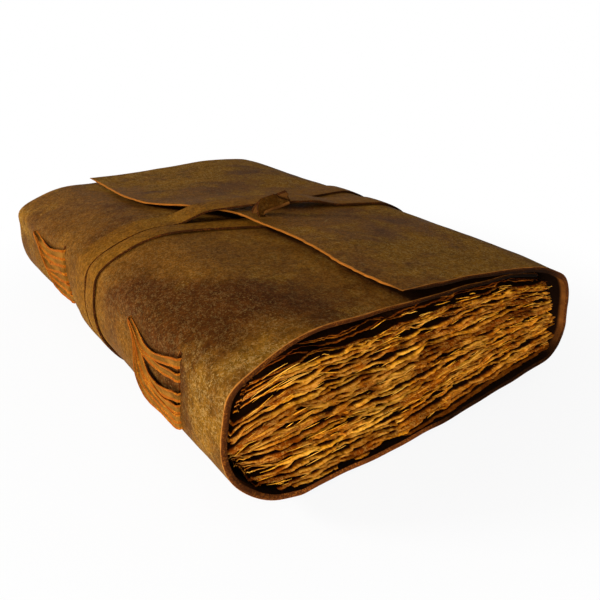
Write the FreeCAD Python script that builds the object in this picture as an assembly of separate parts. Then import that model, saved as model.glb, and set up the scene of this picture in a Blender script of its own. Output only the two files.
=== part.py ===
"""Leather wrap journal with a deckle-edged page block, laced spine and wound strap.

The book lies on its back cover. X runs from the spine (-X) to the fore edge (+X), Y from the tail
to the head of the pages, Z up. The origin is the middle of the face that the book rests on.

The cover is one hide, so its section across the book is one path of straight runs and tangent arcs:
flap, fore-edge wrap, back cover, spine, front cover. Everything else takes its place from that path:
the pages fill it, the strap is wound round it, and the thongs lace through it.
"""
import FreeCAD, Part
import math
import os

Vector = FreeCAD.Vector

# ---- driving dimensions, mm -------------------------------------------------------------------
COVER_LENGTH = 250.0        # tail to head, along Y
COVER_WIDTH = 184.0         # spine to fore edge, along X
SPINE_HEIGHT = 69.6         # outer face of the front cover, carried on to the spine
FORE_HEIGHT = 63.8          # outer face of the front cover, near the fore edge
BACK_RISE = 11.4            # the back cover lifts this much at the fore edge
REST_START = -56.0          # the flat stretch of the back cover that the book lies on
REST_END = -10.0
LEATHER = 2.4               # thickness of the hide
CLEAR = 0.3                 # between soft faces that touch

# corners of the spine, upwards: inset, then height and radius as shares of SPINE_HEIGHT
SPINE = ((12.5, 0.1, 0.388), (0.0, 0.36, 0.48), (0.0, 0.618, 0.39), (6.5, 0.84, 0.25))
SPINE_SHOULDER_INSET = 28.0
SPINE_SHOULDER_RADIUS = 50.0
REST_RADIUS = 45.0
WRAP_LOW_INSET = 5.5
WRAP_LOW_RADIUS = 11.0
# corners of the fore-edge wrap, downwards: inset, share of the way from BACK_RISE to FORE_HEIGHT,
# radius
WRAP = ((24.0, 0.985, 50.0), (5.5, 0.815, 15.0), (0.0, 0.603, 17.0), (0.0, 0.202, 17.0))

FRONT_BEND_INSET = 46.0     # where the front cover starts to fall, from the fore edge
FRONT_BEND_RADIUS = 80.0
FRONT_END_INSET = 17.0      # free edge of the front cover, from the fore edge
FRONT_END_SHARE = 0.824     # and its share of the way from BACK_RISE to FORE_HEIGHT
FLAP_BEND_RADIUS = 100.0

# free edge of the flap in plan: x, y from the middle of the book
FLAP_EDGE_TAIL_X = -18.5
FLAP_EDGE_HEAD_X = -45.3
FLAP_EDGE = ((-19.0, -105.0), (-18.3, -88.0), (-15.0, -60.0), (-15.2, -30.0), (-17.5, -8.0),
             (-27.0, 8.5), (-40.0, 31.5), (-46.2, 48.0), (-47.0, 71.0), (-45.5, 98.0))
FLAP_REACH = 54.0           # the hide is this far past the middle before its edge is cut

# strap
STRAP_WIDTH = 14.5
STRAP = 2.0                 # thickness
STRAP_SLIT = (-8.5, -15.0)  # middle of the slit in the flap
SLIT_LENGTH = 9.0
SLIT_WIDTH = 3.0
NECK_WIDTH = 8.0            # the strap is gathered to this width in the slit
STUB_LENGTH = 18.5
STUB_RISE = 16.0            # degrees
STUB_WIDTH = 6.6
STUB_DEPTH = 7.2
STUB_FOLD_GAP = 2.2
FIRST_SPINE_Y = -5.5        # middle of the strap where each turn crosses the spine and the fore edge
FIRST_FORE_Y = -12.0
SECOND_SPINE_Y = 10.5
SECOND_FORE_Y = 15.0
STRAP_END = (5.0, -1.0)     # tucked end of the strap
FIRST_TOP = ((-16.0, -12.5), (-40.0, -10.5))     # plan of the first run over the front cover
SECOND_TOP = ((30.0, -5.5), (-8.0, 2.5))         # plan of the run that slants over the flap
LAST_TOP = (30.0, 8.0)      # and of the last run
TUCK_RISE = 35.0            # the second turn has climbed on to the tucked end here
TUCK_FALL = 2.0             # leaves it here,
TUCK_EDGE = -32.0           # clears the flap's edge here
TUCK_LAND = -48.0           # and is down on the front cover here
TUCK_RADIUS = 15.0
CORNER_ZONE = 22.0          # at the spine and the fore edge the strap runs straight across
EASE = 12.0                 # length of the straight beside each corner zone
DRIFT_RADIUS = 150.0
STEP_RADIUS = 40.0

# the back cover is pressed up over the strap that it lies on
PRESS_MARGIN = 2.5
PRESS_RAMP = 14.0

# pages
SIGNATURES = 6
GROUPS_PER_SIGNATURE = 3
PAGE_GAP = 0.6              # between the pages and the cover
PAGE_RECESS = 3.0           # deckle edges stand this far inside the tail and head of the cover
FORE_RECESS = 8.0           # and inside the fore-edge wrap
DECKLE = 3.2                # the leaf groups stand this far out of the block
GROUP_FILL = 0.62           # share of the pitch that a leaf group takes
DECKLE_DRIFT = 1.7          # and each one up to this much less or more than its neighbours
WAVE_HEIGHT = 0.42
WAVE_LENGTH = 46.0

# lacing
STATIONS = {"tail": -0.164 * COVER_LENGTH, "head": 0.364 * COVER_LENGTH}    # y of each apex hole
LACING_SPAN = 52.0          # apex hole to slit, towards the tail
THONG_WIDTH = 4.4
THONG = 1.6                 # thickness
THONG_TOP = 0.718 * SPINE_HEIGHT        # height of the highest thong at the slit
THONG_PITCH = 0.0862 * SPINE_HEIGHT     # between thongs along the slit
APEX_TOP = 0.7615 * SPINE_HEIGHT
APEX_PITCH = 0.0287 * SPINE_HEIGHT
THONG_SAG = 3.0             # sag of the highest thong in mid-run
SAG_STEP = 0.8              # each lower one sags this much more
THONG_BOW = 1.8             # the thongs stand off the spine by this much in mid-run
RUN_SECTIONS = 8            # facets along the run of each thong
BEND_SECTIONS = 3           # and round each of its two bends
HOLE_CLEAR = 0.4
SEWING_DEPTH = 3.5          # the thongs' legs go this far into the folds of the pages

HALF_LENGTH = COVER_LENGTH / 2
HALF_WIDTH = COVER_WIDTH / 2
FLAP_LIFT = STRAP + 2 * CLEAR       # the flap lies on the strap that comes from under it
OVERRUN = 4.0               # cutters reach this far past what they cut
GOLDEN_TURN = math.pi * (3 - math.sqrt(5))      # successive turns by this never line up


# ---- paths of straight runs and tangent arcs --------------------------------------------------
def shifted(points, distance):
    """The corner points of the parallel path, distance to the left of the direction of travel."""
    directions = []
    for (x0, z0), (x1, z1) in zip(points, points[1:]):
        length = math.hypot(x1 - x0, z1 - z0)
        directions.append(((x1 - x0) / length, (z1 - z0) / length))
    moved = []
    for i, (x, z) in enumerate(points):
        before = directions[max(i - 1, 0)]
        after = directions[min(i, len(directions) - 1)]
        nx, nz = -(before[1] + after[1]), before[0] + after[0]
        scale = 2 * distance / (nx * nx + nz * nz)
        moved.append((x + nx * scale, z + nz * scale))
    return moved


def rounded(points, radii):
    """Runs and arcs through points. Each is a list of (x, z, left normal x, left normal z)."""
    pieces = []
    start = points[0]
    for i in range(1, len(points) - 1):
        (ax, az), (bx, bz), (cx, cz) = points[i - 1], points[i], points[i + 1]
        length_in, length_out = math.hypot(bx - ax, bz - az), math.hypot(cx - bx, cz - bz)
        d0 = ((bx - ax) / length_in, (bz - az) / length_in)
        d1 = ((cx - bx) / length_out, (cz - bz) / length_out)
        turn = math.atan2(d0[0] * d1[1] - d0[1] * d1[0], d0[0] * d1[0] + d0[1] * d1[1])
        if abs(turn) < 1e-6:
            continue
        tangent = radii[i - 1] * math.tan(abs(turn) / 2)
        p0 = (bx - d0[0] * tangent, bz - d0[1] * tangent)
        p1 = (bx + d1[0] * tangent, bz + d1[1] * tangent)
        n0, n1 = (-d0[1], d0[0]), (-d1[1], d1[0])
        side = 1 if turn > 0 else -1
        centre = (p0[0] + side * radii[i - 1] * n0[0], p0[1] + side * radii[i - 1] * n0[1])
        nm = (n0[0] + n1[0], n0[1] + n1[1])
        size = math.hypot(*nm)
        nm = (nm[0] / size, nm[1] / size)
        middle = (centre[0] - side * radii[i - 1] * nm[0], centre[1] - side * radii[i - 1] * nm[1])
        pieces.append([(*start, *n0), (*p0, *n0)])
        pieces.append([(*p0, *n0), (*middle, *nm), (*p1, *n1)])
        start = p1
    (ax, az), (bx, bz) = start, points[-1]
    length = math.hypot(bx - ax, bz - az)
    n = (-(bz - az) / length, (bx - ax) / length)
    pieces.append([(*start, *n), (*points[-1], *n)])
    return pieces


def edges_at(path, distance, y):
    """Edges of the path moved distance to its left, in the plane across the book at y."""
    edges = []
    for piece in path:
        at = [Vector(x + nx * distance, y, z + nz * distance) for x, z, nx, nz in piece]
        edges.append(Part.LineSegment(*at).toShape() if len(at) == 2 else Part.Arc(*at).toShape())
    return edges


def band_wire(path, inner, outer, y):
    """Closed wire between two parallels of a path."""
    near, far = edges_at(path, inner, y), edges_at(path, outer, y)
    ends = []
    for piece, k in ((path[0], 0), (path[-1], -1)):
        x, z, nx, nz = piece[k]
        ends.append((Vector(x + nx * inner, y, z + nz * inner),
                     Vector(x + nx * outer, y, z + nz * outer)))
    caps = [Part.LineSegment(a, b).toShape() for a, b in ends]
    return Part.Wire(Part.__sortEdges__(near + [caps[1]] + far + [caps[0]]))


def extruded(wire, length):
    return Part.Face(wire).extrude(Vector(0, length, 0))


def band(path, inner, outer, y0, y1):
    return extruded(band_wire(path, inner, outer, y0), y1 - y0)


def box(x0, x1, y0, y1, z0, z1):
    return Part.makeBox(x1 - x0, y1 - y0, z1 - z0, Vector(x0, y0, z0))


# ---- the section of the cover -----------------------------------------------------------------
def front_height(x):
    """Height of the front cover's outer face on its straight stretch."""
    x0, x1 = SPINE_SHOULDER_INSET - HALF_WIDTH, HALF_WIDTH - FRONT_BEND_INSET
    return SPINE_HEIGHT + (FORE_HEIGHT - SPINE_HEIGHT) * (x - x0) / (x1 - x0)


def flap_corners():
    """Outer face of the flap and the fore-edge wrap, from the flap's reach to the low corner."""
    bend = HALF_WIDTH - FRONT_BEND_INSET
    over = LEATHER + CLEAR
    lifted = LEATHER + FLAP_LIFT
    corners = [(-FLAP_REACH, front_height(-FLAP_REACH) + lifted, 0.0),
               (0.0, front_height(0.0) + lifted, FLAP_BEND_RADIUS),
               (bend, front_height(bend) + over, FLAP_BEND_RADIUS)]
    corners += [(HALF_WIDTH - inset, BACK_RISE + (FORE_HEIGHT - BACK_RISE) * up, radius)
                for inset, up, radius in WRAP]
    return corners + [(HALF_WIDTH - WRAP_LOW_INSET, BACK_RISE, WRAP_LOW_RADIUS)]


def flap_height(x):
    """Height of the flap's outer face, from its free edge to where it bends down."""
    (x0, z0, _), (x1, z1, _), (x2, z2, _) = flap_corners()[:3]
    if x < x1:
        return z0 + (z1 - z0) * (x - x0) / (x1 - x0)
    return z1 + (z2 - z1) * (x - x1) / (x2 - x1)


def rest_corners(height=0.0):
    """The flat stretch of the back cover, at a height where it meets the slopes beside it."""
    low_in, low_up, _ = SPINE[0]
    spine_x, fore_x = low_in - HALF_WIDTH, HALF_WIDTH - WRAP_LOW_INSET
    start = REST_START + (spine_x - REST_START) * height / (low_up * SPINE_HEIGHT)
    end = REST_END + (fore_x - REST_END) * height / BACK_RISE
    return [(end, height, 2 * REST_RADIUS), (start, height, REST_RADIUS)]


def spine_corners():
    """Outer face of the spine, upwards, and the shoulder of the front cover."""
    corners = [(inset - HALF_WIDTH, up * SPINE_HEIGHT, radius * SPINE_HEIGHT)
               for inset, up, radius in SPINE]
    return corners + [(SPINE_SHOULDER_INSET - HALF_WIDTH, SPINE_HEIGHT, SPINE_SHOULDER_RADIUS)]


def front_corners():
    end = HALF_WIDTH - FRONT_END_INSET
    return [(HALF_WIDTH - FRONT_BEND_INSET, FORE_HEIGHT, FRONT_BEND_RADIUS),
            (end, BACK_RISE + (FORE_HEIGHT - BACK_RISE) * FRONT_END_SHARE, 0.0)]


def path_of(corners):
    """Rounded path through (x, z, radius) corners."""
    return rounded([(x, z) for x, z, _ in corners], [radius for _, _, radius in corners[1:-1]])


def cover_path(press=0.0):
    return path_of(flap_corners() + rest_corners(press) + spine_corners() + front_corners())


# ---- where the strap runs in plan -------------------------------------------------------------
def plan_prism(centres, radii, half_width, z0, z1):
    """Upright prism over a strip of plan that follows rounded centre points."""
    path = rounded(centres, radii)
    sides = []
    for distance in (half_width, -half_width):
        for piece in path:
            at = [Vector(x + nx * distance, y + ny * distance, z0) for x, y, nx, ny in piece]
            sides.append(Part.LineSegment(*at).toShape() if len(at) == 2 else Part.Arc(*at).toShape())
    for x, y, nx, ny in (path[0][0], path[-1][-1]):
        sides.append(Part.LineSegment(Vector(x + nx * half_width, y + ny * half_width, z0),
                                      Vector(x - nx * half_width, y - ny * half_width, z0)).toShape())
    return Part.Face(Part.Wire(Part.__sortEdges__(sides))).extrude(Vector(0, 0, z1 - z0))


def press_span():
    """Stretch of the book's length whose back cover is pressed up over the strap."""
    ys = (FIRST_SPINE_Y, FIRST_FORE_Y, SECOND_SPINE_Y, SECOND_FORE_Y)
    reach = STRAP_WIDTH / 2 + PRESS_MARGIN
    return min(ys) - reach, max(ys) + reach


def along_book(section):
    """Solid along the book from section(press, y), pressed up over the strap with a ramp each side."""
    y0, y1 = press_span()
    press = STRAP + CLEAR
    stations = [(-HALF_LENGTH, 0.0), (y0 - PRESS_RAMP, 0.0), (y0, press), (y1, press),
                (y1 + PRESS_RAMP, 0.0), (HALF_LENGTH, 0.0)]
    solid = None
    for (ya, pa), (yb, pb) in zip(stations, stations[1:]):
        if pa == pb:
            piece = extruded(section(pa, ya), yb - ya)
        else:
            piece = Part.makeLoft([section(pa, ya), section(pb, yb)], True, True)
        solid = piece if solid is None else solid.fuse(piece)
    return solid


# ---- the cover --------------------------------------------------------------------------------
def flap_cutter():
    """Everything beyond the flap's free edge, above the front cover."""
    tail, head = -HALF_LENGTH - OVERRUN, HALF_LENGTH + OVERRUN
    points = [(FLAP_EDGE_TAIL_X, tail)] + list(FLAP_EDGE) + [(FLAP_EDGE_HEAD_X, head)]
    curve = Part.BSplineCurve()
    curve.interpolate([Vector(x, y, 0) for x, y in points])
    far = -FLAP_REACH - 2 * OVERRUN
    corners = [Vector(points[-1][0], head, 0), Vector(far, head, 0), Vector(far, tail, 0),
               Vector(points[0][0], tail, 0)]
    edges = [curve.toShape()] + [Part.LineSegment(a, b).toShape() for a, b in zip(corners, corners[1:])]
    prism = Part.Face(Part.Wire(Part.__sortEdges__(edges))).extrude(Vector(0, 0, 2 * SPINE_HEIGHT))
    above = path_of([(-FLAP_REACH - 3 * OVERRUN, front_height(-FLAP_REACH - 3 * OVERRUN), 0.0),
                     (HALF_WIDTH, front_height(HALF_WIDTH), 0.0)])
    return prism.common(band(above, FLAP_LIFT / 2, 3 * SPINE_HEIGHT, tail, head))


def slit_z_range():
    reach = THONG_WIDTH / 2 + 1.0
    return THONG_TOP - (SIGNATURES - 1) * THONG_PITCH - reach, THONG_TOP + reach


def apex_z_range():
    reach = THONG / 2 + HOLE_CLEAR
    return APEX_TOP - (SIGNATURES - 1) * APEX_PITCH - reach, APEX_TOP + reach


def lacing_cutters():
    """The slit and the apex hole of each station, through the cover and into the folds."""
    skin = path_of(rest_corners()[1:] + spine_corners() + front_corners()[:1])
    depth = LEATHER + PAGE_GAP + SEWING_DEPTH + HOLE_CLEAR
    cutters = []
    for apex_y in STATIONS.values():
        slit_y = apex_y - LACING_SPAN
        spans = ((slit_y - HOLE_CLEAR, slit_y + THONG + HOLE_CLEAR, slit_z_range()),
                 (apex_y - THONG_WIDTH - HOLE_CLEAR, apex_y + HOLE_CLEAR, apex_z_range()))
        for y0, y1, (z0, z1) in spans:
            wall = band(skin, OVERRUN, -depth, y0, y1)
            cutters.append(wall.common(box(-2 * HALF_WIDTH, 0.0, y0, y1, z0, z1)))
    return cutters


def strap_slit_cutter():
    x, y = STRAP_SLIT
    top = front_height(x) + FLAP_LIFT
    return box(x - SLIT_WIDTH / 2, x + SLIT_WIDTH / 2, y - SLIT_LENGTH / 2, y + SLIT_LENGTH / 2,
               top - CLEAR, top + LEATHER + OVERRUN)


def leather_cover():
    hide = along_book(lambda press, y: band_wire(cover_path(press), -LEATHER, 0.0, y))
    return hide.cut([flap_cutter(), strap_slit_cutter()] + lacing_cutters()).removeSplitter()


# ---- the pages --------------------------------------------------------------------------------
def page_room(press, y):
    """Section of the room for the pages, inside the cover from its low corner to its front edge."""
    corners = flap_corners()[-2:] + rest_corners(press) + spine_corners() + front_corners()
    edges = edges_at(path_of(corners), -LEATHER - PAGE_GAP, y)
    ends = edges[-1].lastVertex().Point, edges[0].firstVertex().Point
    return Part.Wire(Part.__sortEdges__(edges + [Part.LineSegment(*ends).toShape()]))


def leaf_group(low, high, phase, tail_in, head_in, fore_in):
    """A group of leaves: a wavy slab from the spine to the fore edge, standing out of the block."""
    x0, x1 = -HALF_WIDTH, HALF_WIDTH - LEATHER - FORE_RECESS - fore_in
    crest = x0 + (0.5 - phase / math.pi) % 1 * WAVE_LENGTH / 2
    crests = [crest + WAVE_LENGTH / 2 * i for i in range(1 + int((x1 - crest) * 2 / WAVE_LENGTH))]
    stops = [x0] + [x for x in crests if x0 + LEATHER < x < x1 - LEATHER] + [x1]
    half = GROUP_FILL / 2

    def height(share, x):
        bottom = LEATHER + PAGE_GAP + BACK_RISE * max(x - REST_END, 0.0) / (HALF_WIDTH - REST_END)
        top = front_height(x) - LEATHER - PAGE_GAP
        wave = WAVE_HEIGHT * math.sin(2 * math.pi * (x - x0) / WAVE_LENGTH + phase)
        at = (low + high) / 2 + share * (high - low)
        return bottom + at * (top - bottom) + wave

    def side(share):
        """Straight runs from each crest to the next hollow."""
        ends = [Vector(x, 0, height(share, x)) for x in stops]
        return [Part.LineSegment(a, b).toShape() for a, b in zip(ends, ends[1:])]

    caps = [Part.LineSegment(Vector(x, 0, height(-half, x)), Vector(x, 0, height(half, x))).toShape()
            for x in (x0, x1)]
    face = Part.Face(Part.Wire(Part.__sortEdges__(side(-half) + side(half) + caps)))
    tail = -HALF_LENGTH + PAGE_RECESS + tail_in
    head = HALF_LENGTH - PAGE_RECESS - head_in
    face.translate(Vector(0, tail, 0))
    return face.extrude(Vector(0, head - tail, 0))


def page_block():
    """One solid: the sewn block with its leaf groups standing out at tail, head and fore edge."""
    room = along_book(page_room)
    inside = PAGE_RECESS + DECKLE
    fore = HALF_WIDTH - LEATHER - FORE_RECESS - DECKLE
    core = room.common(box(-HALF_WIDTH, fore, -HALF_LENGTH + inside, HALF_LENGTH - inside,
                           0.0, SPINE_HEIGHT))
    groups = []
    total = SIGNATURES * GROUPS_PER_SIGNATURE
    for i in range(total):
        tail_in, head_in, fore_in = [DECKLE_DRIFT * (1 + math.sin(GOLDEN_TURN * i + end)) / 2
                                     for end in range(3)]
        groups.append(leaf_group(i / total, (i + 1) / total, GOLDEN_TURN * i,
                                 tail_in, head_in, fore_in))
    slabs = groups[0].multiFuse(groups[1:]).common(room)
    return core.fuse(slabs).cut(lacing_cutters()).removeSplitter()


# ---- the strap --------------------------------------------------------------------------------
def strap_seat():
    """Corners of the strap's inner face round the book, from the front cover to the flap."""
    seat = front_corners()[:1] + spine_corners()[::-1] + rest_corners()[::-1] + flap_corners()[::-1]
    moved = shifted([(x, z) for x, z, _ in seat], -CLEAR)
    corners = [(x, z, radius + CLEAR) for (x, z), (_, _, radius) in zip(moved, seat)]
    start, end = [i for i, corner in enumerate(seat) if corner[1] == 0.0]

    def at_strap_height(low, high):
        share = (STRAP - low[1]) / (high[1] - low[1])
        return low[0] + share * (high[0] - low[0])

    # the strap lies flat on the ground under the book
    corners[start] = (at_strap_height(corners[start], corners[start - 1]), STRAP, REST_RADIUS)
    corners[end] = (at_strap_height(corners[end], corners[end + 1]), STRAP, 2 * REST_RADIUS)
    return corners


def seat_on_front(x):
    """Corner of the strap's inner face on the front cover, a full clearance out from it."""
    slope = (FORE_HEIGHT - SPINE_HEIGHT) / (COVER_WIDTH - SPINE_SHOULDER_INSET - FRONT_BEND_INSET)
    return x, front_height(x) + CLEAR * math.hypot(1, slope)


def strap_layer(corners):
    return band(path_of(corners), 0.0, -STRAP, -HALF_LENGTH, HALF_LENGTH)


def across(layer, y, x0, x1):
    """The strap where it runs straight round the spine or the fore edge."""
    half = STRAP_WIDTH / 2
    return layer.common(box(x0, x1, y - half, y + half, -OVERRUN, 2 * SPINE_HEIGHT))


def in_plan(layer, centres, radii, z0, z1):
    """The strap where it lies flat and drifts along the book."""
    return layer.common(plan_prism(centres, radii, STRAP_WIDTH / 2, z0, z1))


def strap_stub():
    """The anchored end: the neck in the slit, and the stub folded lengthwise above the flap."""
    x, y = STRAP_SLIT
    flap_top = front_height(x) + FLAP_LIFT + LEATHER
    neck_half = SLIT_WIDTH / 2 - CLEAR
    neck = box(x - neck_half, x + neck_half, y - NECK_WIDTH / 2, y + NECK_WIDTH / 2,
               front_height(x) + CLEAR + STRAP / 2, flap_top + CLEAR + STRAP)
    half, wall = STUB_WIDTH / 2, (STUB_WIDTH - STUB_FOLD_GAP) / 2
    outer = box(0, STUB_LENGTH, -half, half, 0, STUB_DEPTH)
    fold = [edge for edge in outer.Edges if edge.BoundBox.ZMax < CLEAR and edge.BoundBox.XLength > CLEAR]
    outer = outer.makeFillet(half - CLEAR, fold)
    inner = box(-OVERRUN, STUB_LENGTH + OVERRUN, wall - half, half - wall, wall, STUB_DEPTH + OVERRUN)
    stub = outer.cut(inner)
    stub.rotate(Vector(0, 0, 0), Vector(0, 1, 0), -STUB_RISE)
    stub.translate(Vector(x - neck_half, y, flap_top + CLEAR))
    return [neck, stub]


def wrap_strap():
    """One strap, from its stub in the flap's slit twice round the book to its tucked end."""
    spine_x, fore_x = CORNER_ZONE - HALF_WIDTH, HALF_WIDTH - CORNER_ZONE
    far = 2 * HALF_WIDTH
    middle, high = SPINE_HEIGHT / 2, 2 * SPINE_HEIGHT
    slit_x, slit_y = STRAP_SLIT
    end_x, end_y = STRAP_END
    seat = strap_seat()
    shoulder, bend = seat[1:4], seat[-5:-2]

    # round the spine, under the book and up the fore edge, twice
    round_book = strap_layer(seat[:-2])
    pieces = []
    for spine_y, fore_y in ((FIRST_SPINE_Y, FIRST_FORE_Y), (SECOND_SPINE_Y, SECOND_FORE_Y)):
        pieces.append(across(round_book, spine_y, -far, spine_x))
        pieces.append(across(round_book, fore_y, fore_x, far))
        under = [(spine_x, spine_y), (spine_x + EASE, spine_y), (fore_x - EASE, fore_y), (fore_x, fore_y)]
        pieces.append(in_plan(round_book, under, (DRIFT_RADIUS, DRIFT_RADIUS), -OVERRUN, middle))

    # from the slit, under the flap's edge, to the spine
    begin_x = slit_x + SLIT_WIDTH / 2 - CLEAR
    begin = strap_layer([(*seat_on_front(begin_x), 0.0)] + shoulder)
    plan = [(begin_x, slit_y)] + list(FIRST_TOP) + [(spine_x + EASE, FIRST_SPINE_Y), (spine_x, FIRST_SPINE_Y)]
    pieces.append(in_plan(begin, plan, (STEP_RADIUS,) * 3, middle, high))

    # from the fore edge over the tucked end, down over the flap's edge, to the spine
    over = [(TUCK_RISE, flap_height(TUCK_RISE) + STRAP + 2 * CLEAR, TUCK_RADIUS),
            (TUCK_FALL, flap_height(TUCK_FALL) + STRAP + 2 * CLEAR, TUCK_RADIUS),
            (TUCK_EDGE, flap_height(TUCK_EDGE) + 2 * CLEAR, TUCK_RADIUS),
            (*seat_on_front(TUCK_LAND), TUCK_RADIUS)]
    crossing = strap_layer(bend + over + shoulder)
    plan = [(fore_x, FIRST_FORE_Y), (fore_x - EASE, FIRST_FORE_Y)] + list(SECOND_TOP) \
        + [(spine_x, SECOND_SPINE_Y)]
    pieces.append(in_plan(crossing, plan, (STEP_RADIUS,) * 3, middle, high))

    # the last run over the flap, to the tucked end
    last = strap_layer(bend + [(end_x, flap_height(end_x) + CLEAR, 0.0)])
    plan = [(fore_x, SECOND_FORE_Y), (fore_x - EASE, SECOND_FORE_Y), LAST_TOP, (end_x, end_y)]
    pieces.append(in_plan(last, plan, (STEP_RADIUS, STEP_RADIUS), middle, high))

    pieces += strap_stub()
    return pieces[0].multiFuse(pieces[1:]).removeSplitter()


# ---- the lacing -------------------------------------------------------------------------------
def spine_face(z):
    """Where the cover's outer face is at a height on the spine: x, and its outward normal."""
    for piece in path_of(rest_corners()[1:] + spine_corners() + front_corners()[:1]):
        (x0, z0, nx0, nz0), (x1, z1, nx1, nz1) = piece[0], piece[-1]
        if not min(z0, z1) <= z <= max(z0, z1):
            continue
        if len(piece) == 2:
            return x0 + (x1 - x0) * (z - z0) / (z1 - z0), nx0, nz0
        radius = math.hypot(x1 - x0, z1 - z0) / math.hypot(nx1 - nx0, nz1 - nz0)
        nz = (z - z0) / radius + nz0
        nx = -math.sqrt(1 - nz * nz)
        return x0 + radius * (nx - nx0), nx, nz


def faceted(sections):
    """Solid with flat facets between four-cornered sections."""
    facets = [sections[0], sections[-1]]
    for near, beyond in zip(sections, sections[1:]):
        for i in range(4):
            j = (i + 1) % 4
            facets += [[near[i], near[j], beyond[j]], [near[i], beyond[j], beyond[i]]]
    faces = [Part.Face(Part.makePolygon(facet + facet[:1])) for facet in facets]
    solid = Part.Solid(Part.makeShell(faces))
    return solid if solid.Volume > 0 else solid.reversed()


def section(centre, wide, thin):
    """Corners of a thong's section, from its half-width and half-thickness vectors."""
    return [centre + wide * p + thin * q for p, q in ((1, 1), (1, -1), (-1, -1), (-1, 1))]


def run_section(apex_z, slit_z, sag, y, t):
    """Section at share t of the run along the spine, turned by that share of a quarter turn."""
    lift = 4 * t * (1 - t)
    z = apex_z + (slit_z - apex_z) * t - sag * lift
    x, nx, nz = spine_face(z)
    out = Vector(nx * t - (1 - t), 0, nz * t).normalize()
    side = Vector(out.z, 0, -out.x)
    turn = math.pi / 2 * t
    cos, sin = math.cos(turn), math.sin(turn)
    wide, thin = THONG_WIDTH / 2, THONG / 2
    stand = CLEAR * (2 - t) + wide * cos + thin * sin + THONG_BOW * lift
    return section(Vector(x, y, z) + out * stand, (out * cos + side * sin) * wide,
                   (side * cos - out * sin) * thin)


def thong(apex_y, order):
    """One thong: on edge from the apex hole, a quarter turn along the spine, flat into the slit."""
    apex_z = APEX_TOP - order * APEX_PITCH
    slit_z = THONG_TOP - order * THONG_PITCH
    sag = THONG_SAG + order * SAG_STEP
    start, stop = apex_y - THONG_WIDTH - CLEAR, apex_y - LACING_SPAN + THONG + CLEAR
    depth = LEATHER + PAGE_GAP + SEWING_DEPTH
    wide, thin = THONG_WIDTH / 2, THONG / 2
    turns = [math.pi / 2 * i / BEND_SECTIONS for i in range(BEND_SECTIONS + 1)]

    x, _, _ = spine_face(apex_z)
    hinge, upright = Vector(x - CLEAR, start, apex_z), Vector(0, 0, thin)
    leg_end = hinge + Vector(CLEAR + depth, CLEAR + wide, 0)
    sections = [section(leg_end, Vector(0, wide, 0), upright)]
    for turn in turns[:-1]:
        out = Vector(-math.sin(turn), math.cos(turn), 0)
        sections.append(section(hinge + out * (CLEAR + wide), out * wide, upright))

    for i in range(RUN_SECTIONS + 1):
        t = i / RUN_SECTIONS
        sections.append(run_section(apex_z, slit_z, sag, start + (stop - start) * t, t))

    x, nx, nz = spine_face(slit_z)
    hinge, normal, side = Vector(x, stop, slit_z), Vector(nx, 0, nz), Vector(nz, 0, -nx) * wide
    for turn in turns[1:]:
        out = normal * math.cos(turn) - Vector(0, math.sin(turn), 0)
        sections.append(section(hinge + out * (CLEAR + thin), side, out * -thin))
    leg_end = hinge - normal * depth - Vector(0, CLEAR + thin, 0)
    sections.append(section(leg_end, side, Vector(0, thin, 0)))
    return faceted(sections).removeSplitter()


def build_all():
    """Every piece of the journal by the name of its node."""
    parts = {"leather_cover": leather_cover(), "page_block": page_block(), "wrap_strap": wrap_strap()}
    for station, apex_y in STATIONS.items():
        for order in range(SIGNATURES):
            parts[station + "_thong_" + str(order + 1)] = thong(apex_y, order)
    return parts


def main():
    os.makedirs("parts", exist_ok=True)
    for name, shape in build_all().items():
        solid = shape.Solids[0] if len(shape.Solids) == 1 else shape
        room = solid.BoundBox
        print(name, len(shape.Solids), solid.isValid(), round(solid.Volume), len(solid.Faces),
              [round(v, 1) for v in (room.XMin, room.XMax, room.YMin, room.YMax, room.ZMin, room.ZMax)])
        solid.exportStep("parts/" + name + ".step")


main()
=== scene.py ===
# %% [markdown]
# # A leather journal, wrapped and tied
# The journal is one piece of oiled hide folded round six sewn bundles of handmade paper. A flap
# comes over the front from the fore edge, and one long strap goes twice round the book. The solids
# of the frame hold the true sizes. Here the same lengths, in millimetres, carry the softer forms
# and the finishes that solids can't show.

# %% Tools and the frame
import math

import bpy
import numpy as np
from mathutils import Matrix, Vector


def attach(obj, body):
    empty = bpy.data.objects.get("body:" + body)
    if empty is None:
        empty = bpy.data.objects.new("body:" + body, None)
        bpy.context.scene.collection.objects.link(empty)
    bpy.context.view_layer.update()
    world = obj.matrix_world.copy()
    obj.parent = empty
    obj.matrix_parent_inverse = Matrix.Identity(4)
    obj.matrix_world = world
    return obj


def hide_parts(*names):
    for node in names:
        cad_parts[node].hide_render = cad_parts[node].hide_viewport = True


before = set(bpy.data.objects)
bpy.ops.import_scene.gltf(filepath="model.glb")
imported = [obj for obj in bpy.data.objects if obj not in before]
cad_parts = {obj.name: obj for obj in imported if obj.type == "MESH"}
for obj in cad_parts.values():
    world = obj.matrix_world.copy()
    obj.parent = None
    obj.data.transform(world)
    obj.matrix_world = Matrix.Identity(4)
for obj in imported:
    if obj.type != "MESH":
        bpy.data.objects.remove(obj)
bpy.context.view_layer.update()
MM = 0.001
print("frame holds", len(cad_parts), "solids")

# %% [markdown]
# ## Where the viewer stands
# The camera comes first, because every later choice of detail depends on how near it is. It stands
# off the corner where the spine meets the tail and looks a little down, with a normal lens.

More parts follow.
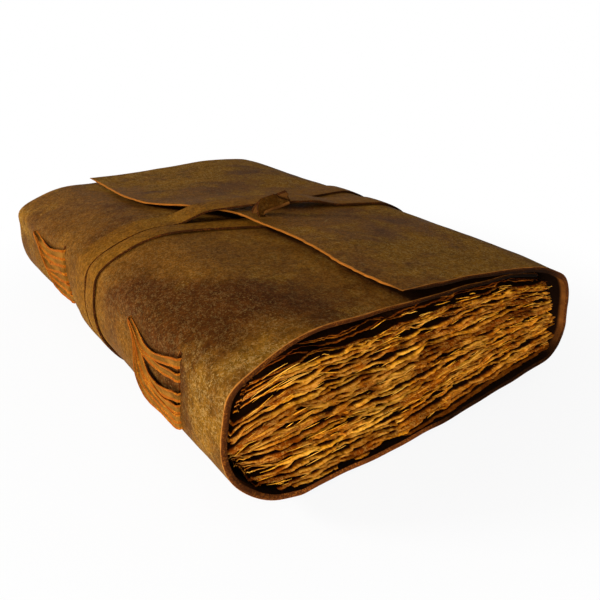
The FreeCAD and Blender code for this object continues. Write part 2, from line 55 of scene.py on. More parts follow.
# %% Camera
YAW, PITCH = math.radians(35.5), math.radians(24.62)
camera_data = bpy.data.cameras.new("journal_camera")
camera_data.lens = 38.72
camera_data.sensor_width = 36.0
camera = bpy.data.objects.new("journal_camera", camera_data)
camera.location = (-0.17025, -0.27524, 0.16536)
camera.rotation_euler = (math.pi / 2 - PITCH, 0.0, -YAW)
bpy.context.scene.collection.objects.link(camera)
bpy.context.scene.camera = camera
bpy.context.scene.view_settings.view_transform = "Standard"
print("camera", [round(v, 3) for v in camera.location])

# %% [markdown]
# ## Curves the pieces follow
# The hide, the strap and the pages all follow one profile of the closed book: straight runs joined
# by arcs. A profile is kept as many points with the length so far, so a point and its outward
# normal at any length come from one interpolation.

# %% Profile lines
def lengths_of(points):
    """Length along a line from its first point to each of its points."""
    return np.concatenate([[0], np.cumsum(np.linalg.norm(np.diff(points, axis=0), axis=1))])


def unit(vectors):
    """The same directions with length 1."""
    return vectors / np.linalg.norm(vectors, axis=-1, keepdims=True)


def averaged(values, reach, width):
    """Mean of each value and its `reach` neighbours each way, weighted by a bell `width` wide."""
    bell = np.exp(-0.5 * (np.arange(-reach, reach + 1) / width) ** 2)
    return np.convolve(np.pad(values, reach, "edge"), bell / bell.sum(), "valid")


def rounded_line(corners, soft=2.0, step=0.5):
    """Straight runs between (x, z, radius) corners, joined by arcs of radius r that start
    r * tan(half the turn) before each corner; then averaged over `soft` mm."""
    points = [np.array([corners[0][:2]], float)]
    for before, corner, after in zip(corners, corners[1:], corners[2:]):
        here = np.array(corner[:2])
        come, go = here - np.array(before[:2]), np.array(after[:2]) - here
        come, go = come / np.linalg.norm(come), go / np.linalg.norm(go)
        turn = math.atan2(come[0] * go[1] - come[1] * go[0], come @ go)
        reach = corner[2] * math.tan(abs(turn) / 2)
        angles = np.linspace(0, abs(turn), max(int(abs(turn) * corner[2] / step), 2))[:, None]
        left = np.array([-come[1], come[0]]) * math.copysign(corner[2], turn)
        # the arc: its centre lies `left` of its start
        centre = here - come * reach + left
        points.append(centre - left * np.cos(angles) + come * np.sin(angles) * corner[2])
    points.append(np.array([corners[-1][:2]], float))
    return softened(np.concatenate(points), soft, step)


def softened(points, soft, step=0.5):
    """Points every `step` mm along a line, each the bell-weighted mean of its neighbours."""
    lengths = lengths_of(points)
    even = np.linspace(0, lengths[-1], int(lengths[-1] / step) + 2)
    line = np.stack([np.interp(even, lengths, c) for c in points.T], 1)
    if soft > 0:
        half = int(3 * soft / step)
        bell = np.exp(-0.5 * (np.arange(-half, half + 1) * step / soft) ** 2)
        head = 2 * line[0] - line[half:0:-1]
        tail = 2 * line[-1] - line[-2:-half - 2:-1]
        padded = np.concatenate([head, line, tail])
        line = np.stack([np.convolve(c, bell / bell.sum(), "valid") for c in padded.T], 1)
    return lengths_of(line), line


def along(profile, s):
    """Point and outward (left-hand) normal of a profile at lengths s, each as (..., 2)."""
    lengths, line = profile
    slope = unit(np.gradient(line, axis=0))
    point = np.stack([np.interp(s, lengths, c) for c in line.T], -1)
    way = unit(np.stack([np.interp(s, lengths, c) for c in slope.T], -1))
    return point, np.stack([-way[..., 1], way[..., 0]], -1)


# %% Ripples, steps and meshes
def ripple(a, b, seed, longest, shortest, count=14):
    """Smooth irregular height between about -1 and 1: the sum of `count` cosines of a and b with
    wavelengths from longest to shortest, in seeded directions, long ones strongest."""
    rng = np.random.default_rng(seed)
    total, power = 0.0, 0.0
    for wavelength in np.geomspace(longest, shortest, count):
        angle, phase = rng.uniform(0, 2 * math.pi, 2)
        strength = wavelength ** 0.5
        way = a * math.cos(angle) + b * math.sin(angle)
        total = total + strength * np.cos(2 * math.pi * way / wavelength + phase)
        power += strength ** 2 / 2
    return total / (2 * math.sqrt(power))


def step(x, low, high):
    """0 below low, 1 above high, and 3t^2 - 2t^3 between."""
    t = np.clip((x - low) / (high - low), 0, 1)
    return t * t * (3 - 2 * t)


def spread(marks, gap):
    """Grid lines about `gap` apart that pass through all the marks."""
    marks = np.unique(marks)
    parts = [np.linspace(a, b, max(int(round((b - a) / gap)), 1) + 1)
             for a, b in zip(marks, marks[1:])]
    return np.unique(np.round(np.concatenate(parts), 6))


def put_mesh(name, verts, quads, parts=None, uv=None, extra=None, sharp=40):
    """A mesh object from (n, 3) points in millimetres and (m, 4) faces, smooth except at edges
    sharper than `sharp` degrees. parts is the material number of each face, uv a (n, 2) map in
    metres, extra a dict of one value per point."""
    mesh = bpy.data.meshes.new(name)
    mesh.vertices.add(len(verts))
    mesh.vertices.foreach_set("co", (np.asarray(verts) * MM).astype(np.float32).ravel())
    mesh.loops.add(quads.size)
    mesh.loops.foreach_set("vertex_index", quads.astype(np.int32).ravel())
    mesh.polygons.add(len(quads))
    mesh.polygons.foreach_set("loop_start", np.arange(0, quads.size, 4, dtype=np.int32))
    if parts is not None:
        mesh.polygons.foreach_set("material_index", parts.astype(np.int32))
    if uv is not None:
        layer = mesh.uv_layers.new(name="flat")
        layer.data.foreach_set("uv", uv[quads.ravel()].astype(np.float32).ravel())
    for key, values in (extra or {}).items():
        field = mesh.attributes.new(key, "FLOAT", "POINT")
        field.data.foreach_set("value", values.astype(np.float32))
    mesh.update(calc_edges=True)
    mesh.validate()
    mesh.polygons.foreach_set("use_smooth", np.ones(len(mesh.polygons), bool))
    mesh.set_sharp_from_angle(angle=math.radians(sharp))
    piece = bpy.data.objects.new(name, mesh)
    bpy.context.scene.collection.objects.link(piece)
    print(name, "has", len(mesh.polygons), "faces")
    return piece


def join(first, second):
    """Two (points, quads, anything per point or face) as one."""
    moved = (second[0], second[1] + len(first[0]), *second[2:])
    return [np.concatenate(pair) for pair in zip(first, moved)]


def stand_for(piece, node):
    """Hide the solid that a piece replaces. All pieces ride on the root."""
    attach(piece, "root")
    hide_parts(node)
    return piece


# %% [markdown]
# ## The closed book's profile
# These are the sizes of the solids: the hide's outer face, seen from the tail. It starts on the
# flap, goes over the fore edge, under the back, up the spine and ends on the front cover.

# %% Sizes
LENGTH, WIDTH = 250.0, 184.0
HALF, SIDE = LENGTH / 2, WIDTH / 2
SPINE_HEIGHT, FORE_HEIGHT, BACK_RISE = 69.6, 63.8, 11.4
# the front cover's bends start this far from the spine's and the fore edge's side
SPINE_BEND, FORE_BEND = 28.0, 46.0
HIDE, GAP = 2.4, 0.3
STRAP_WIDTH, STRAP = 14.5, 2.0
# room for a strap between two faces
LIFT = STRAP + 2 * GAP
RISE = FORE_HEIGHT - BACK_RISE


def front_height(x):
    """Height of the front cover where it is straight: a line from the spine to the fore edge."""
    share = (x + SIDE - SPINE_BEND) / (WIDTH - SPINE_BEND - FORE_BEND)
    return SPINE_HEIGHT + (FORE_HEIGHT - SPINE_HEIGHT) * share


flap_corners = [(-54.0, front_height(-54.0) + HIDE + LIFT, 0.0),
                (0.0, front_height(0.0) + HIDE + LIFT, 100.0),
                (SIDE - FORE_BEND, front_height(SIDE - FORE_BEND) + HIDE + GAP, 100.0),
                (SIDE - 24.0, BACK_RISE + RISE * 0.985, 50.0),
                (SIDE - 5.5, BACK_RISE + RISE * 0.815, 15.0),
                (SIDE, BACK_RISE + RISE * 0.603, 17.0),
                (SIDE, BACK_RISE + RISE * 0.202, 17.0),
                (SIDE - 5.5, BACK_RISE, 11.0)]
rest_corners = [(-10.0, 0.0, 90.0), (-56.0, 0.0, 45.0)]
spine_corners = [(-SIDE + 12.5, SPINE_HEIGHT * 0.1, 27.0), (-SIDE, SPINE_HEIGHT * 0.36, 33.4),
                 (-SIDE, SPINE_HEIGHT * 0.618, 27.1), (-SIDE + 6.5, SPINE_HEIGHT * 0.84, 17.4),
                 (-SIDE + SPINE_BEND, SPINE_HEIGHT, 50.0)]
front_corners = [(SIDE - FORE_BEND, FORE_HEIGHT, 80.0), (SIDE - 28.0, 60.0, 0.0)]
hide_line = rounded_line(flap_corners + rest_corners + spine_corners + front_corners)
HIDE_SPAN = hide_line[0][-1]
print("the hide's profile is", round(HIDE_SPAN), "mm long")


# %% Set of the book
# deepest sink of the head, the fore shoulder's swell, the spine's lean, each in mm
SINK, SWELL, LEAN = 5.7, 2.2, 2.2
# each lacing's reach along y, with its soft ends: (from, to, from, to)
LACED = [(-104, -88, -46, -32), (28, 44, 84, 98)]


def settle(points):
    """The slump of a stuffed book, the same for every piece. Towards the head the top sinks by
    SINK at the spine, as the height to the power 1.5, and the fore edge leans out by 1.8 mm. The
    shoulder above the fore edge swells by about SWELL (1 - (y / half)^2). The spine leans out by
    LEAN towards the tail, and high up by LEAN to twice that towards the head, and each lacing pulls
    it in by 2 to 3 mm. A ripple of 0.4 mm runs over it all."""
    x, y, z = points[..., 0], points[..., 1], points[..., 2]
    high = np.clip(z / SPINE_HEIGHT, 0, 1)
    head, spine = step(y, 15, HALF), step(-x, 60, 84)
    full = SWELL * (1 - (y / HALF) ** 2) - 0.9 * step(-y, 105, HALF) + 1.2 * step(y, 60, HALF)
    shoulder = np.exp(-((x - 72) / 20) ** 2) * step(z, 38, 56) * full
    lean = step(-y, 15, 75) * step(z, 4, 26) * (1 - step(z, 58, 70)) * spine
    upper = spine * np.exp(-((z - 56) / 8) ** 2) * (LEAN + LEAN * step(y, 0, 90))
    tail_laced, head_laced = [step(y, a, b) * (1 - step(y, c, d)) for a, b, c, d in LACED]
    pulled = spine * (2.2 * tail_laced * np.exp(-((z - 41) / 9) ** 2)
                      + 3.0 * head_laced * (1 - step(z, 28, 50)))
    out = points.copy()
    out[..., 0] += (0.45 * shoulder - LEAN * lean + 1.8 * head * step(x, 70, SIDE) * high
                    - upper + pulled)
    sink = SINK * head * high ** 1.5 * (1 - step(x, -65, 65)) * (1 - 0.3 * step(-x, 45, 75))
    out[..., 2] += 0.9 * shoulder - sink
    out[..., 2] += 0.4 * ripple(x, y, 3, 190, 60, 8) * step(z, 20, 60)
    return out


# %% [markdown]
# ## The hide
# One sheet makes the back, spine, front and flap, so it is one grid: one way along the profile, the
# other way along the book. Its first edge is the wavy edge of the flap, so the grid is stretched
# there to end on that edge, and rows stand close together beside every cut, where a hide is
# rounded by handling. Slits are grid faces left out. A second grid one hide's thickness inside
# and a rounded rim round every cut close it into a solid.

# %% The flap's free edge and where the hide is cut
# (y, x) of the edge from the tail to the head
edge_y, edge_x = np.array([
    (-125, -18), (-105, -19.2), (-88, -18.3), (-60, -14.8), (-45, -14.6), (-30, -15.2),
    (-20, -15.7), (-8, -16.8), (1, -20), (8.5, -26.5), (20, -33.5), (31.5, -40.3), (42, -45.4),
    (50, -47), (71, -46.8), (98, -45), (125, -45.3)]).T


def flap_edge(y):
    """x of the flap's free edge: straight between marks, then averaged over 3.5 mm, and a hand-cut
    wander of 0.3 mm."""
    ys = np.arange(-HALF - 20, HALF + 20.1, 0.5)
    xs = averaged(np.interp(ys, edge_y, edge_x), 30, 7.0)
    return np.interp(y, ys, xs) + 0.3 * ripple(y, 0 * y, 8, 26, 7)


SLIT_Y = {"tail": -0.372 * LENGTH, "head": 0.156 * LENGTH}
LACING_SPAN, THONG_WIDTH, THONG = 44.5, 3.9, 1.3
SLIT_TOP, SLIT_LOW = 56.0, 23.0
APEX_TOP, APEX_LOW = 52.8, 49.4


def length_at(x=None, z=None, near=0.0):
    """Length along the hide's profile where it passes x or z, closest to the length `near`."""
    lengths, line = hide_line
    off = np.abs(line[:, 0] - x) if x is not None else np.abs(line[:, 1] - z)
    return lengths[np.argmin(off + np.abs(lengths - near) * 0.02)]


spine_middle = length_at(z=35.0, near=HIDE_SPAN - 220)
slit_span = [length_at(z=z, near=spine_middle) for z in (SLIT_LOW, SLIT_TOP)]
apex_span = [length_at(z=z, near=spine_middle) for z in (APEX_LOW, APEX_TOP)]
slit_rows = {key: (y - 0.4, y + 2.0) for key, y in SLIT_Y.items()}
apex_rows = {key: (y + LACING_SPAN - 0.6, y + LACING_SPAN + 1.4) for key, y in SLIT_Y.items()}
print("slits from", [round(v) for v in slit_span], "along the profile")


# %% Solid from a sheet
def normals_of(grid):
    """Outward normals of a grid: the cross product of its two slopes."""
    return unit(np.cross(np.gradient(grid, axis=0), np.gradient(grid, axis=1)))


# where the rim has its rows, as shares t of the thickness
RIM = (0.18, 0.5, 0.82)


def thick_sheet(grid, normal, thickness, keep, bulge=0.45):
    """Closed solid from a grid of points (rows, columns, 3): the grid, the grid moved inwards by
    thickness, and the rim's rows between them, which bulge outwards by bulge * sin(pi * t).
    Gives points, faces, for each face 0 outside, 1 rim, 2 inside, and for each point the grid
    point it came from and its share of the thickness."""
    rows, columns = grid.shape[:2]
    count = rows * columns
    index = np.arange(count).reshape(rows, columns)
    quads = np.stack([index[:-1, :-1], index[1:, :-1], index[1:, 1:], index[:-1, 1:]], -1)[keep]
    outer, n = grid.reshape(-1, 3), normal.reshape(-1, 3)
    inner = outer - n * np.broadcast_to(thickness, (rows, columns)).reshape(-1, 1)
    # edges that only one face uses, in that face's direction
    ends = np.concatenate([quads[:, [i, (i + 1) % 4]] for i in range(4)])
    key = np.sort(ends, 1) @ np.array([count, 1])
    _, first, uses = np.unique(key, return_index=True, return_counts=True)
    rim = ends[first[uses == 1]]
    way = outer[rim[:, 1]] - outer[rim[:, 0]]
    away = np.zeros_like(outer)
    for side in range(2):
        np.add.at(away, rim[:, side], np.cross(way, n[rim[:, side]]))
    used = np.unique(rim)
    away = away[used] / np.maximum(np.linalg.norm(away[used], axis=1, keepdims=True), 1e-9)
    slot = np.zeros(count, int)
    slot[used] = np.arange(len(used))
    middle = []
    for t in RIM:
        height = bulge * math.sin(math.pi * t) * (1 + 0.5 * np.sin(used * 1.7 + 9 * t))[:, None]
        middle.append(outer[used] * (1 - t) + inner[used] * t + away * height)
    levels = [rim, *[slot[rim] + 2 * count + i * len(used) for i in range(len(RIM))], rim + count]
    bands = [np.stack([a[:, 1], a[:, 0], b[:, 0], b[:, 1]], 1) for a, b in zip(levels, levels[1:])]
    faces = np.concatenate([quads, *bands, quads[:, ::-1] + count])
    parts = np.repeat([0, 1, 2], [len(quads), len(bands) * len(rim), len(quads)])
    points = np.concatenate([outer, inner, *middle])
    source = np.concatenate([np.arange(count)] * 2 + [used] * len(RIM))
    across = np.repeat([0, 1, *RIM], [count] * 2 + [len(used)] * len(RIM))
    live = np.unique(faces)
    renumber = np.zeros(len(points), int)
    renumber[live] = np.arange(len(live))
    return points[live], renumber[faces], parts, source[live], across[live]


# %% The hide's grid
rows = [y for pair in (*slit_rows.values(), *apex_rows.values()) for y in pair]
slit_x, slit_y, slit_length, slit_width = -8.5, -15.0, 9.0, 3.0
rows += [slit_y - slit_length / 2, slit_y + slit_length / 2]
close = np.array([0.4, 1.1, 2.2])
hide_y = spread([-HALF, HALF, *rows, *(-HALF + close), *(HALF - close)], 2.0)
ease_in = length_at(x=25.0, near=60.0)
far_lines = spread([ease_in, *slit_span, *apex_span, HIDE_SPAN, *(HIDE_SPAN - close)], 2.0)
start = np.array([length_at(x=x, near=0.0) for x in flap_edge(hide_y)])
slit_start = length_at(x=slit_x - slit_width / 2, near=0.0)
at_slit = start[np.argmin(np.abs(hide_y - slit_y))]
slit_shares = [(slit_start + d - at_slit) / (ease_in - at_slit) for d in (0.0, slit_width)]
shares = spread([0.0, 0.012, 0.03, *slit_shares, 1.0], 0.045)


def press(x, y):
    """Lift of the back cover: 2.3 mm over the strap, between y -22 and 25, with 14 mm ramps; and
    2.6 mm at its tail edge, which curls up between the spine's curve and the middle."""
    curl = 2.6 * step(-y, 98, HALF) * step(x, -76, -52) * (1 - step(x, 0, 60))
    return 2.3 * step(y, -36, -22) * (1 - step(y, 25, 39)) + curl


def hide_surface(s, y):
    """Outer face of the hide at length s and y: the profile, the press over the strap below, the
    flap let down at the head, and the waves of a handled hide."""
    point, n = along(hide_line, s)
    grid = np.stack([point[..., 0], y, point[..., 1]], -1)
    x, z = grid[..., 0], grid[..., 2]
    # where the face looks down, z goes softly up to the press: the mean of both + half a hyperbola
    below = step(-n[..., 1], 0.5, 0.9)
    grid[..., 2] += below * 0.5 * (press(x, y) - z + np.hypot(z - press(x, y), 0.6))
    flap = 1 - step(s, ease_in + 10, ease_in + 60)
    grid[..., 2] -= 1.9 * flap * step(y, 12, 40) * (1 - step(x, 0, 40))
    grid[..., 2] += 0.25 * flap * (1 - step(s, 0, 60)) * ripple(y, 0 * y, 14, 90, 30, 5)
    swell = 0.12 * ripple(s, y, 5, 60, 12) * step(z, 3, 10)
    grid[..., 0] += n[..., 0] * swell
    grid[..., 2] += n[..., 1] * swell
    end = np.abs(y) / HALF
    grid[..., 1] += np.sign(y) * 0.7 * ripple(s, 0 * y, 21, 120, 22, 7) * step(end, 0.8, 1)
    return settle(grid)


S = np.concatenate([start + (ease_in - start) * shares[:-1, None],
                    np.broadcast_to(far_lines[:, None], (len(far_lines), len(hide_y)))])
Y = np.broadcast_to(hide_y, S.shape)
hide_grid = hide_surface(S, Y)
print("hide grid", hide_grid.shape[:2])

# %% Slits, thickness and the finished piece
cell_s, cell_y = (S[:-1, :-1] + S[1:, 1:]) / 2, (Y[:-1, :-1] + Y[1:, 1:]) / 2
cut = np.zeros(cell_s.shape, bool)
for key in SLIT_Y:
    for (s0, s1), (y0, y1) in ((slit_span, slit_rows[key]), (apex_span, apex_rows[key])):
        cut |= (cell_s > s0) & (cell_s < s1) & (cell_y > y0) & (cell_y < y1)
# the strap's slit lies in the part of the grid that is stretched to the flap's edge
cell_share = np.full(len(cut), 2.0)
cell_share[:len(shares) - 1] = (shares[:-1] + shares[1:]) / 2
in_slit = (cell_share > slit_shares[0]) & (cell_share < slit_shares[1])
cut |= in_slit[:, None] & (np.abs(cell_y - slit_y) < slit_length / 2)
from_edge = S - start
thickness = HIDE + 0.12 * ripple(S, Y, 31, 40, 9) - 1.5 * (1 - step(from_edge, 0, 14))
skived = np.maximum(step(S, HIDE_SPAN - 160, HIDE_SPAN - 130), 1 - step(S, 70, 110))
thickness = thickness - 0.8 * (1 - step(HALF - np.abs(Y), 2, 9)) * skived
# handling leaves the hide darker or rubbed, and some dark patches are painted shade: middle (x, y,
# z), radius, dark + or rubbed -
PATCHES = [(-75, -75, 70, 20, 0.7), (-66, -93, 70, 17, 0.4), (-52, -103, 69, 20, 0.6),
           (-29, -114, 68, 18, 0.2), (-34, -58, 68, 20, -0.5), (-67, -113, 70, 12, -0.5),
           # the dark patches on the spine beside the tail lacing are partly painted shade between
           # the thongs
           (-84, -22, 68, 17, 0.9), (-86, 66, 68, 28, 0.6), (-92, -69, 48, 18, 1.25),
           (-92, -88, 58, 18, 0.7), (-92, -33, 67, 18, 0.7), (-92, -52, 61, 17, 0.8),
           (-93, -120, 56, 14, -0.3), (-92, -118, 30, 22, -0.3), (-92, 70, 40, 24, 0.6),
           (0, 60, 66, 34, 0.3), (48, 40, 64, 30, -0.3), (30, -20, 66, 18, 0.3),
           # painted shadow: the stub's cast shadow on the flap, as two dark patches
           (9, -12, 68, 5, 1.5), (18, -9, 68, 6, 1.4)]
oil_and_shade = sum(amount * np.exp(-np.sum((hide_grid - np.array(middle)) ** 2, -1) / radius ** 2)
          for *middle, radius, amount in PATCHES)
# painted shade: where the flap lies over the front cover, the patch value goes up to DARKEST,
# nearly black
DARKEST = 3
under_flap_shade = step(S, HIDE_SPAN - 150, HIDE_SPAN - 140) * step(hide_grid[..., 0] - flap_edge(Y), 2, 7)
oil_and_shade = oil_and_shade + (DARKEST - oil_and_shade) * under_flap_shade
points, faces, parts, source, across = thick_sheet(
    hide_grid, normals_of(hide_grid), thickness, ~cut)
flat = np.stack([S.ravel(), Y.ravel()], 1)[source] * MM
from_cut = np.minimum(HALF - np.abs(Y), np.minimum(from_edge, HIDE_SPAN - S))
# painted light and shade on the raw edge, by length from the flap's edge: dull on the flap, bright
# round the shoulder and under the back; and by length from the front's end: painted shade, nearly
# black under the flap. Its deeper half is painted darker, as a power of 1 to 2.
edge_light_painted = np.interp(from_edge, [90, 110, 134, 148, 222, 240, 296, 316],
                     [0.25, 0.8, 0.8, 0.3, 0.3, 1, 1, 0.65])
edge_light_painted = edge_light_painted * np.interp(HIDE_SPAN - S, [0, 20, 60, 110], [0.08, 0.15, 0.3, 1])
fields = {"from_cut": from_cut, "from_flap": from_edge, "oil_and_shade": oil_and_shade, "edge_light_painted": edge_light_painted}
fields = {key: values.ravel()[source] for key, values in fields.items()}
fields["edge_light_painted"] **= 1 + step(across, RIM[0], RIM[1])
hide = stand_for(put_mesh("journal_hide", points, faces, parts, flat, fields | {"across": across}),
                 "leather_cover")

# %% [markdown]
# ## The pages
# The paper is handmade and its four edges are left as the mould made them: thin, torn and wavy.
# Only the outermost centimetre of each sheet is ever seen, so every sheet is a closed ring of that
# width. A ring is a small section, thick inside and feathered at the tip, carried round a
# rectangle. All sheets of a bundle are worked out together as one array.

# %% Room for the pages
ROOM_LOW, ROOM_HIGH = 2.7, 8.0


def room_low(x):
    """Underside of the pages: the back cover's inner face, rising in a curve at the spine."""
    rise = BACK_RISE * np.clip((x + 14) / (SIDE + 10), 0, None)
    return ROOM_LOW + rise + 2.4 * step(x, 5, 55) + 11.0 * np.clip((-x - 62) / 28, 0, None) ** 2.2


def room_high(x):
    """Top of the pages: below the front cover, rising by 4.2 mm towards the fore edge, and falling
    in a curve at the spine and at the fore edge itself."""
    at_spine = 16.0 * np.clip((-x - 54) / 32, 0, None) ** 2
    at_fore = 3.0 * np.clip((x - 46) / 26, 0, None) ** 1.4
    return front_height(x) - ROOM_HIGH + 4.2 * step(x, -55, 25) - (at_spine + at_fore)


def spine_x(z):
    """x of the hide's inner face at height z on the spine."""
    lengths, line = hide_line
    face = (np.abs(lengths - spine_middle) < 45) & (line[:, 0] < -60)
    order = np.argsort(line[face][:, 1])
    return np.interp(z, line[face][order, 1], line[face][order, 0]) + HIDE


def spine_at(share):
    """x of the spine's inner face at a share of the pages' height, which is from 5 to 63 mm."""
    return spine_x(5 + share * 58)


# %% One ring of points round the book
def ring(counts, corner=0.02):
    """Unit rectangle with rounded corners: (a, b) in 0..1 from the tail's spine corner to the fore
    edge, the head and back, with outward (u, v). counts are the points on the four sides."""
    a, b = [np.concatenate([np.linspace(start, end, count, endpoint=False)
                            for start, end, count in zip(corners, corners[1:], counts)])
            for corners in ([0, 1, 1, 0, 0], [0, 0, 1, 1, 0])]
    u = step(a, 1 - corner, 1) - step(-a, -corner, 0)
    v = step(b, 1 - corner, 1) - step(-b, -corner, 0)
    size = np.maximum(np.hypot(u, v), 1e-6)
    return a, b, u / size, v / size


BUNDLES, STACKS, SHEETS = 6, 4, 2
PAGE_LENGTH, TAIL_Y = 243.2, -121.6
# the tail is nearest to the viewer, so it has the most points, and the spine's side the fewest
a, b, u, v = ring((520, 80, 150, 26))
# the way round the book in mm, for a ring of this size
ROUND_WIDTH, ROUND_LENGTH = 165, 243
walk = np.cumsum(np.hypot(np.diff(a, prepend=a[-1]) * ROUND_WIDTH,
                          np.diff(b, prepend=b[-1]) * ROUND_LENGTH))
# the section: how far in from the tip, the share of the half thickness, upper side first, and how
# deep it looks, as painted shade: the underside of a lip is painted with the shade of its own
# overhang
SECTION_IN = np.array([13.0, 4.0, 1.6, 0.5, 0.0, 0.5, 1.6, 4.0, 13.0])
SECTION_UP = np.array([1.0, 0.95, 0.9, 0.75, 0.05, -0.75, -0.9, -0.95, -1.0])
SECTION_DEEP = np.array([13.0, 5.0, 2.3, 0.2, 0.3, 2.1, 3.4, 5.0, 13.0])
TOTAL = BUNDLES * STACKS


def waves(seed, longest, shortest, count=8):
    """A ripple of the way round the book alone."""
    return ripple(walk, 0 * walk, seed, longest, shortest, count)


def deckle(seed):
    """Torn outline of a sheet in mm: long bays, short tears, notches where a flake came off."""
    flakes = step(waves(seed + 2, 16, 3.5, 8), 0.9, 1.4)
    return 0.9 * waves(seed, 30, 6) + 0.22 * waves(seed + 1, 5, 1.4, 10) - 1.3 * flakes


# Where two stacks part, the gap opens like a lens: 2 mm each way where a slow ripple is high.
openings = np.array([2.0 * step(waves(300 + k, 70, 14, 7), 0.45, 1.6) for k in range(TOTAL + 1)])
openings[[0, -1]] = 0
edges_rng = np.random.default_rng(7)
stack_edges = np.cumsum(np.concatenate([[0], edges_rng.uniform(0.6, 1.4, TOTAL)]))
stack_edges /= stack_edges[-1]


# where the sheets end at the fore edge, by share of the room's height
FORE_SHARE, FORE_X = [0, 0.14, 0.34, 0.55, 0.86, 1], [82, 86, 87, 82, 79, 74]


def sheet_rings(place, sheet, wave, shift, rng):
    """Section points of one sheet round the book, with its depth from the tip and its tone. Height
    = share of the room + wave of the stack + parting of the stacks + curl and droop at the tip.
    Depth is the painted shade of the finish: the distance from the tip, less where the tip droops,
    and more for the uppermost sheets and, away from the spine, the lowest."""
    t = (sheet + 0.5) / SHEETS
    low_edge, high_edge = stack_edges[place], stack_edges[place + 1]
    share = low_edge + (high_edge - low_edge) * (0.1 + 0.8 * t)
    seed = 1000 + place * 10 + sheet
    x0, fore = spine_at(share) + 1.2, np.interp(share, FORE_SHARE, FORE_X)
    drooping = step(waves(seed + 11, 50, 12, 7), 0.8, 1.6)
    droop = rng.choice([-1.9, -1.2, 1.2]) * drooping
    recess = 2.6 * step(share, 0.88, 0.99) + 6.5 * (1 - step(a, 0.0, 0.14)) * rng.uniform(0.1, 1)
    recess = recess - 3.0 * (1 - step(share, 0.03, 0.12))
    out = shift + rng.normal(0, 0.8) + deckle(seed) + 0.7 * drooping - recess
    curl = 0.75 * waves(seed + 5, 36, 8) + 0.2 * waves(seed + 6, 7, 2.5)
    half = 0.8 * (high_edge - low_edge) * 55 / SHEETS / 2 * rng.uniform(0.3, 0.78)
    inset = SECTION_IN - np.clip(out, -6, 2.9)[:, None] * np.exp(-SECTION_IN / 5)
    x = x0 + (fore - x0) * a[:, None] - u[:, None] * inset
    y = TAIL_Y + PAGE_LENGTH * b[:, None] - v[:, None] * inset
    low, high = room_low(x), room_high(x)
    tip = np.exp(-SECTION_IN / 3.0)
    parted = openings[place] * (1 - t) - openings[place + 1] * t
    free = 0.2 + 0.8 * step(share, 0.0, 0.12)
    z = low + (high - low) * share + free * (wave + parted)[:, None] * (0.35 + 0.65 * tip)
    z = z + free * (curl + droop)[:, None] * tip ** 1.3
    z = z + half * SECTION_UP * (1 + 0.35 * waves(seed + 7, 12, 2.5, 6)[:, None] * tip)
    shade_depth = SECTION_DEEP * (1 - 0.75 * drooping[:, None]) + 1.3 * step(share, 0.87, 0.95)
    shade_depth = shade_depth + 1.5 * (1 - step(share, 0.03, 0.08)) * step(a, 0.18, 0.4)[:, None]
    tone = rng.uniform(0, 1) + 0.25 * waves(seed + 8, 60, 15) + 0.3 * drooping
    # painted shade: sheets are darker towards the spine's side
    tone = tone - 0.5 * (1 - step(a, 0, 0.2))
    return np.stack([x, y, z], -1), shade_depth, np.broadcast_to(tone[:, None], shade_depth.shape)


def bundle(number):
    """All sheets of one sewn bundle, stack by stack: points, depths and tones."""
    rng = np.random.default_rng(40 + number)
    sheets = []
    for place in range(number * STACKS, (number + 1) * STACKS):
        wave, shift = 1.25 * waves(100 + place, 60, 12), rng.normal(0, 0.7)
        sheets += [sheet_rings(place, sheet, wave, shift, rng) for sheet in range(SHEETS)]
    return [np.array(part) for part in zip(*sheets)]


def ring_faces(rings, length, section):
    """Faces of closed rings: each point of the section to its next, each station to its next."""
    near = np.arange(rings * length * section).reshape(rings, length, section)
    far = np.roll(near, -1, 1)
    return np.stack([near, np.roll(near, -1, 2), np.roll(far, -1, 2), far], -1).reshape(-1, 4)


def put_pages(name, points, faces, shade_depth, tone, flat=None):
    """A piece of the page block, with its depth and tone at each point."""
    fields = {"shade_depth": shade_depth.ravel(), "tone": tone.ravel()}
    piece = put_mesh(name, settle(points).reshape(-1, 3), faces, None, flat, fields, 80)
    return stand_for(piece, "page_block")


page_pieces = []
for number in range(BUNDLES):
    rings, shade_depth, tone = bundle(number)
    # each sheet has a strip of its own in the flat map, 20 mm from the next
    across = SECTION_IN + 20 * np.arange(len(rings))[:, None, None]
    flat = np.stack(np.broadcast_arrays(walk[None, :, None], across), -1).reshape(-1, 2) * MM
    page_pieces.append(put_pages(f"page_bundle_{number + 1}", rings, ring_faces(*rings.shape[:3]),
                                 shade_depth, tone, flat))


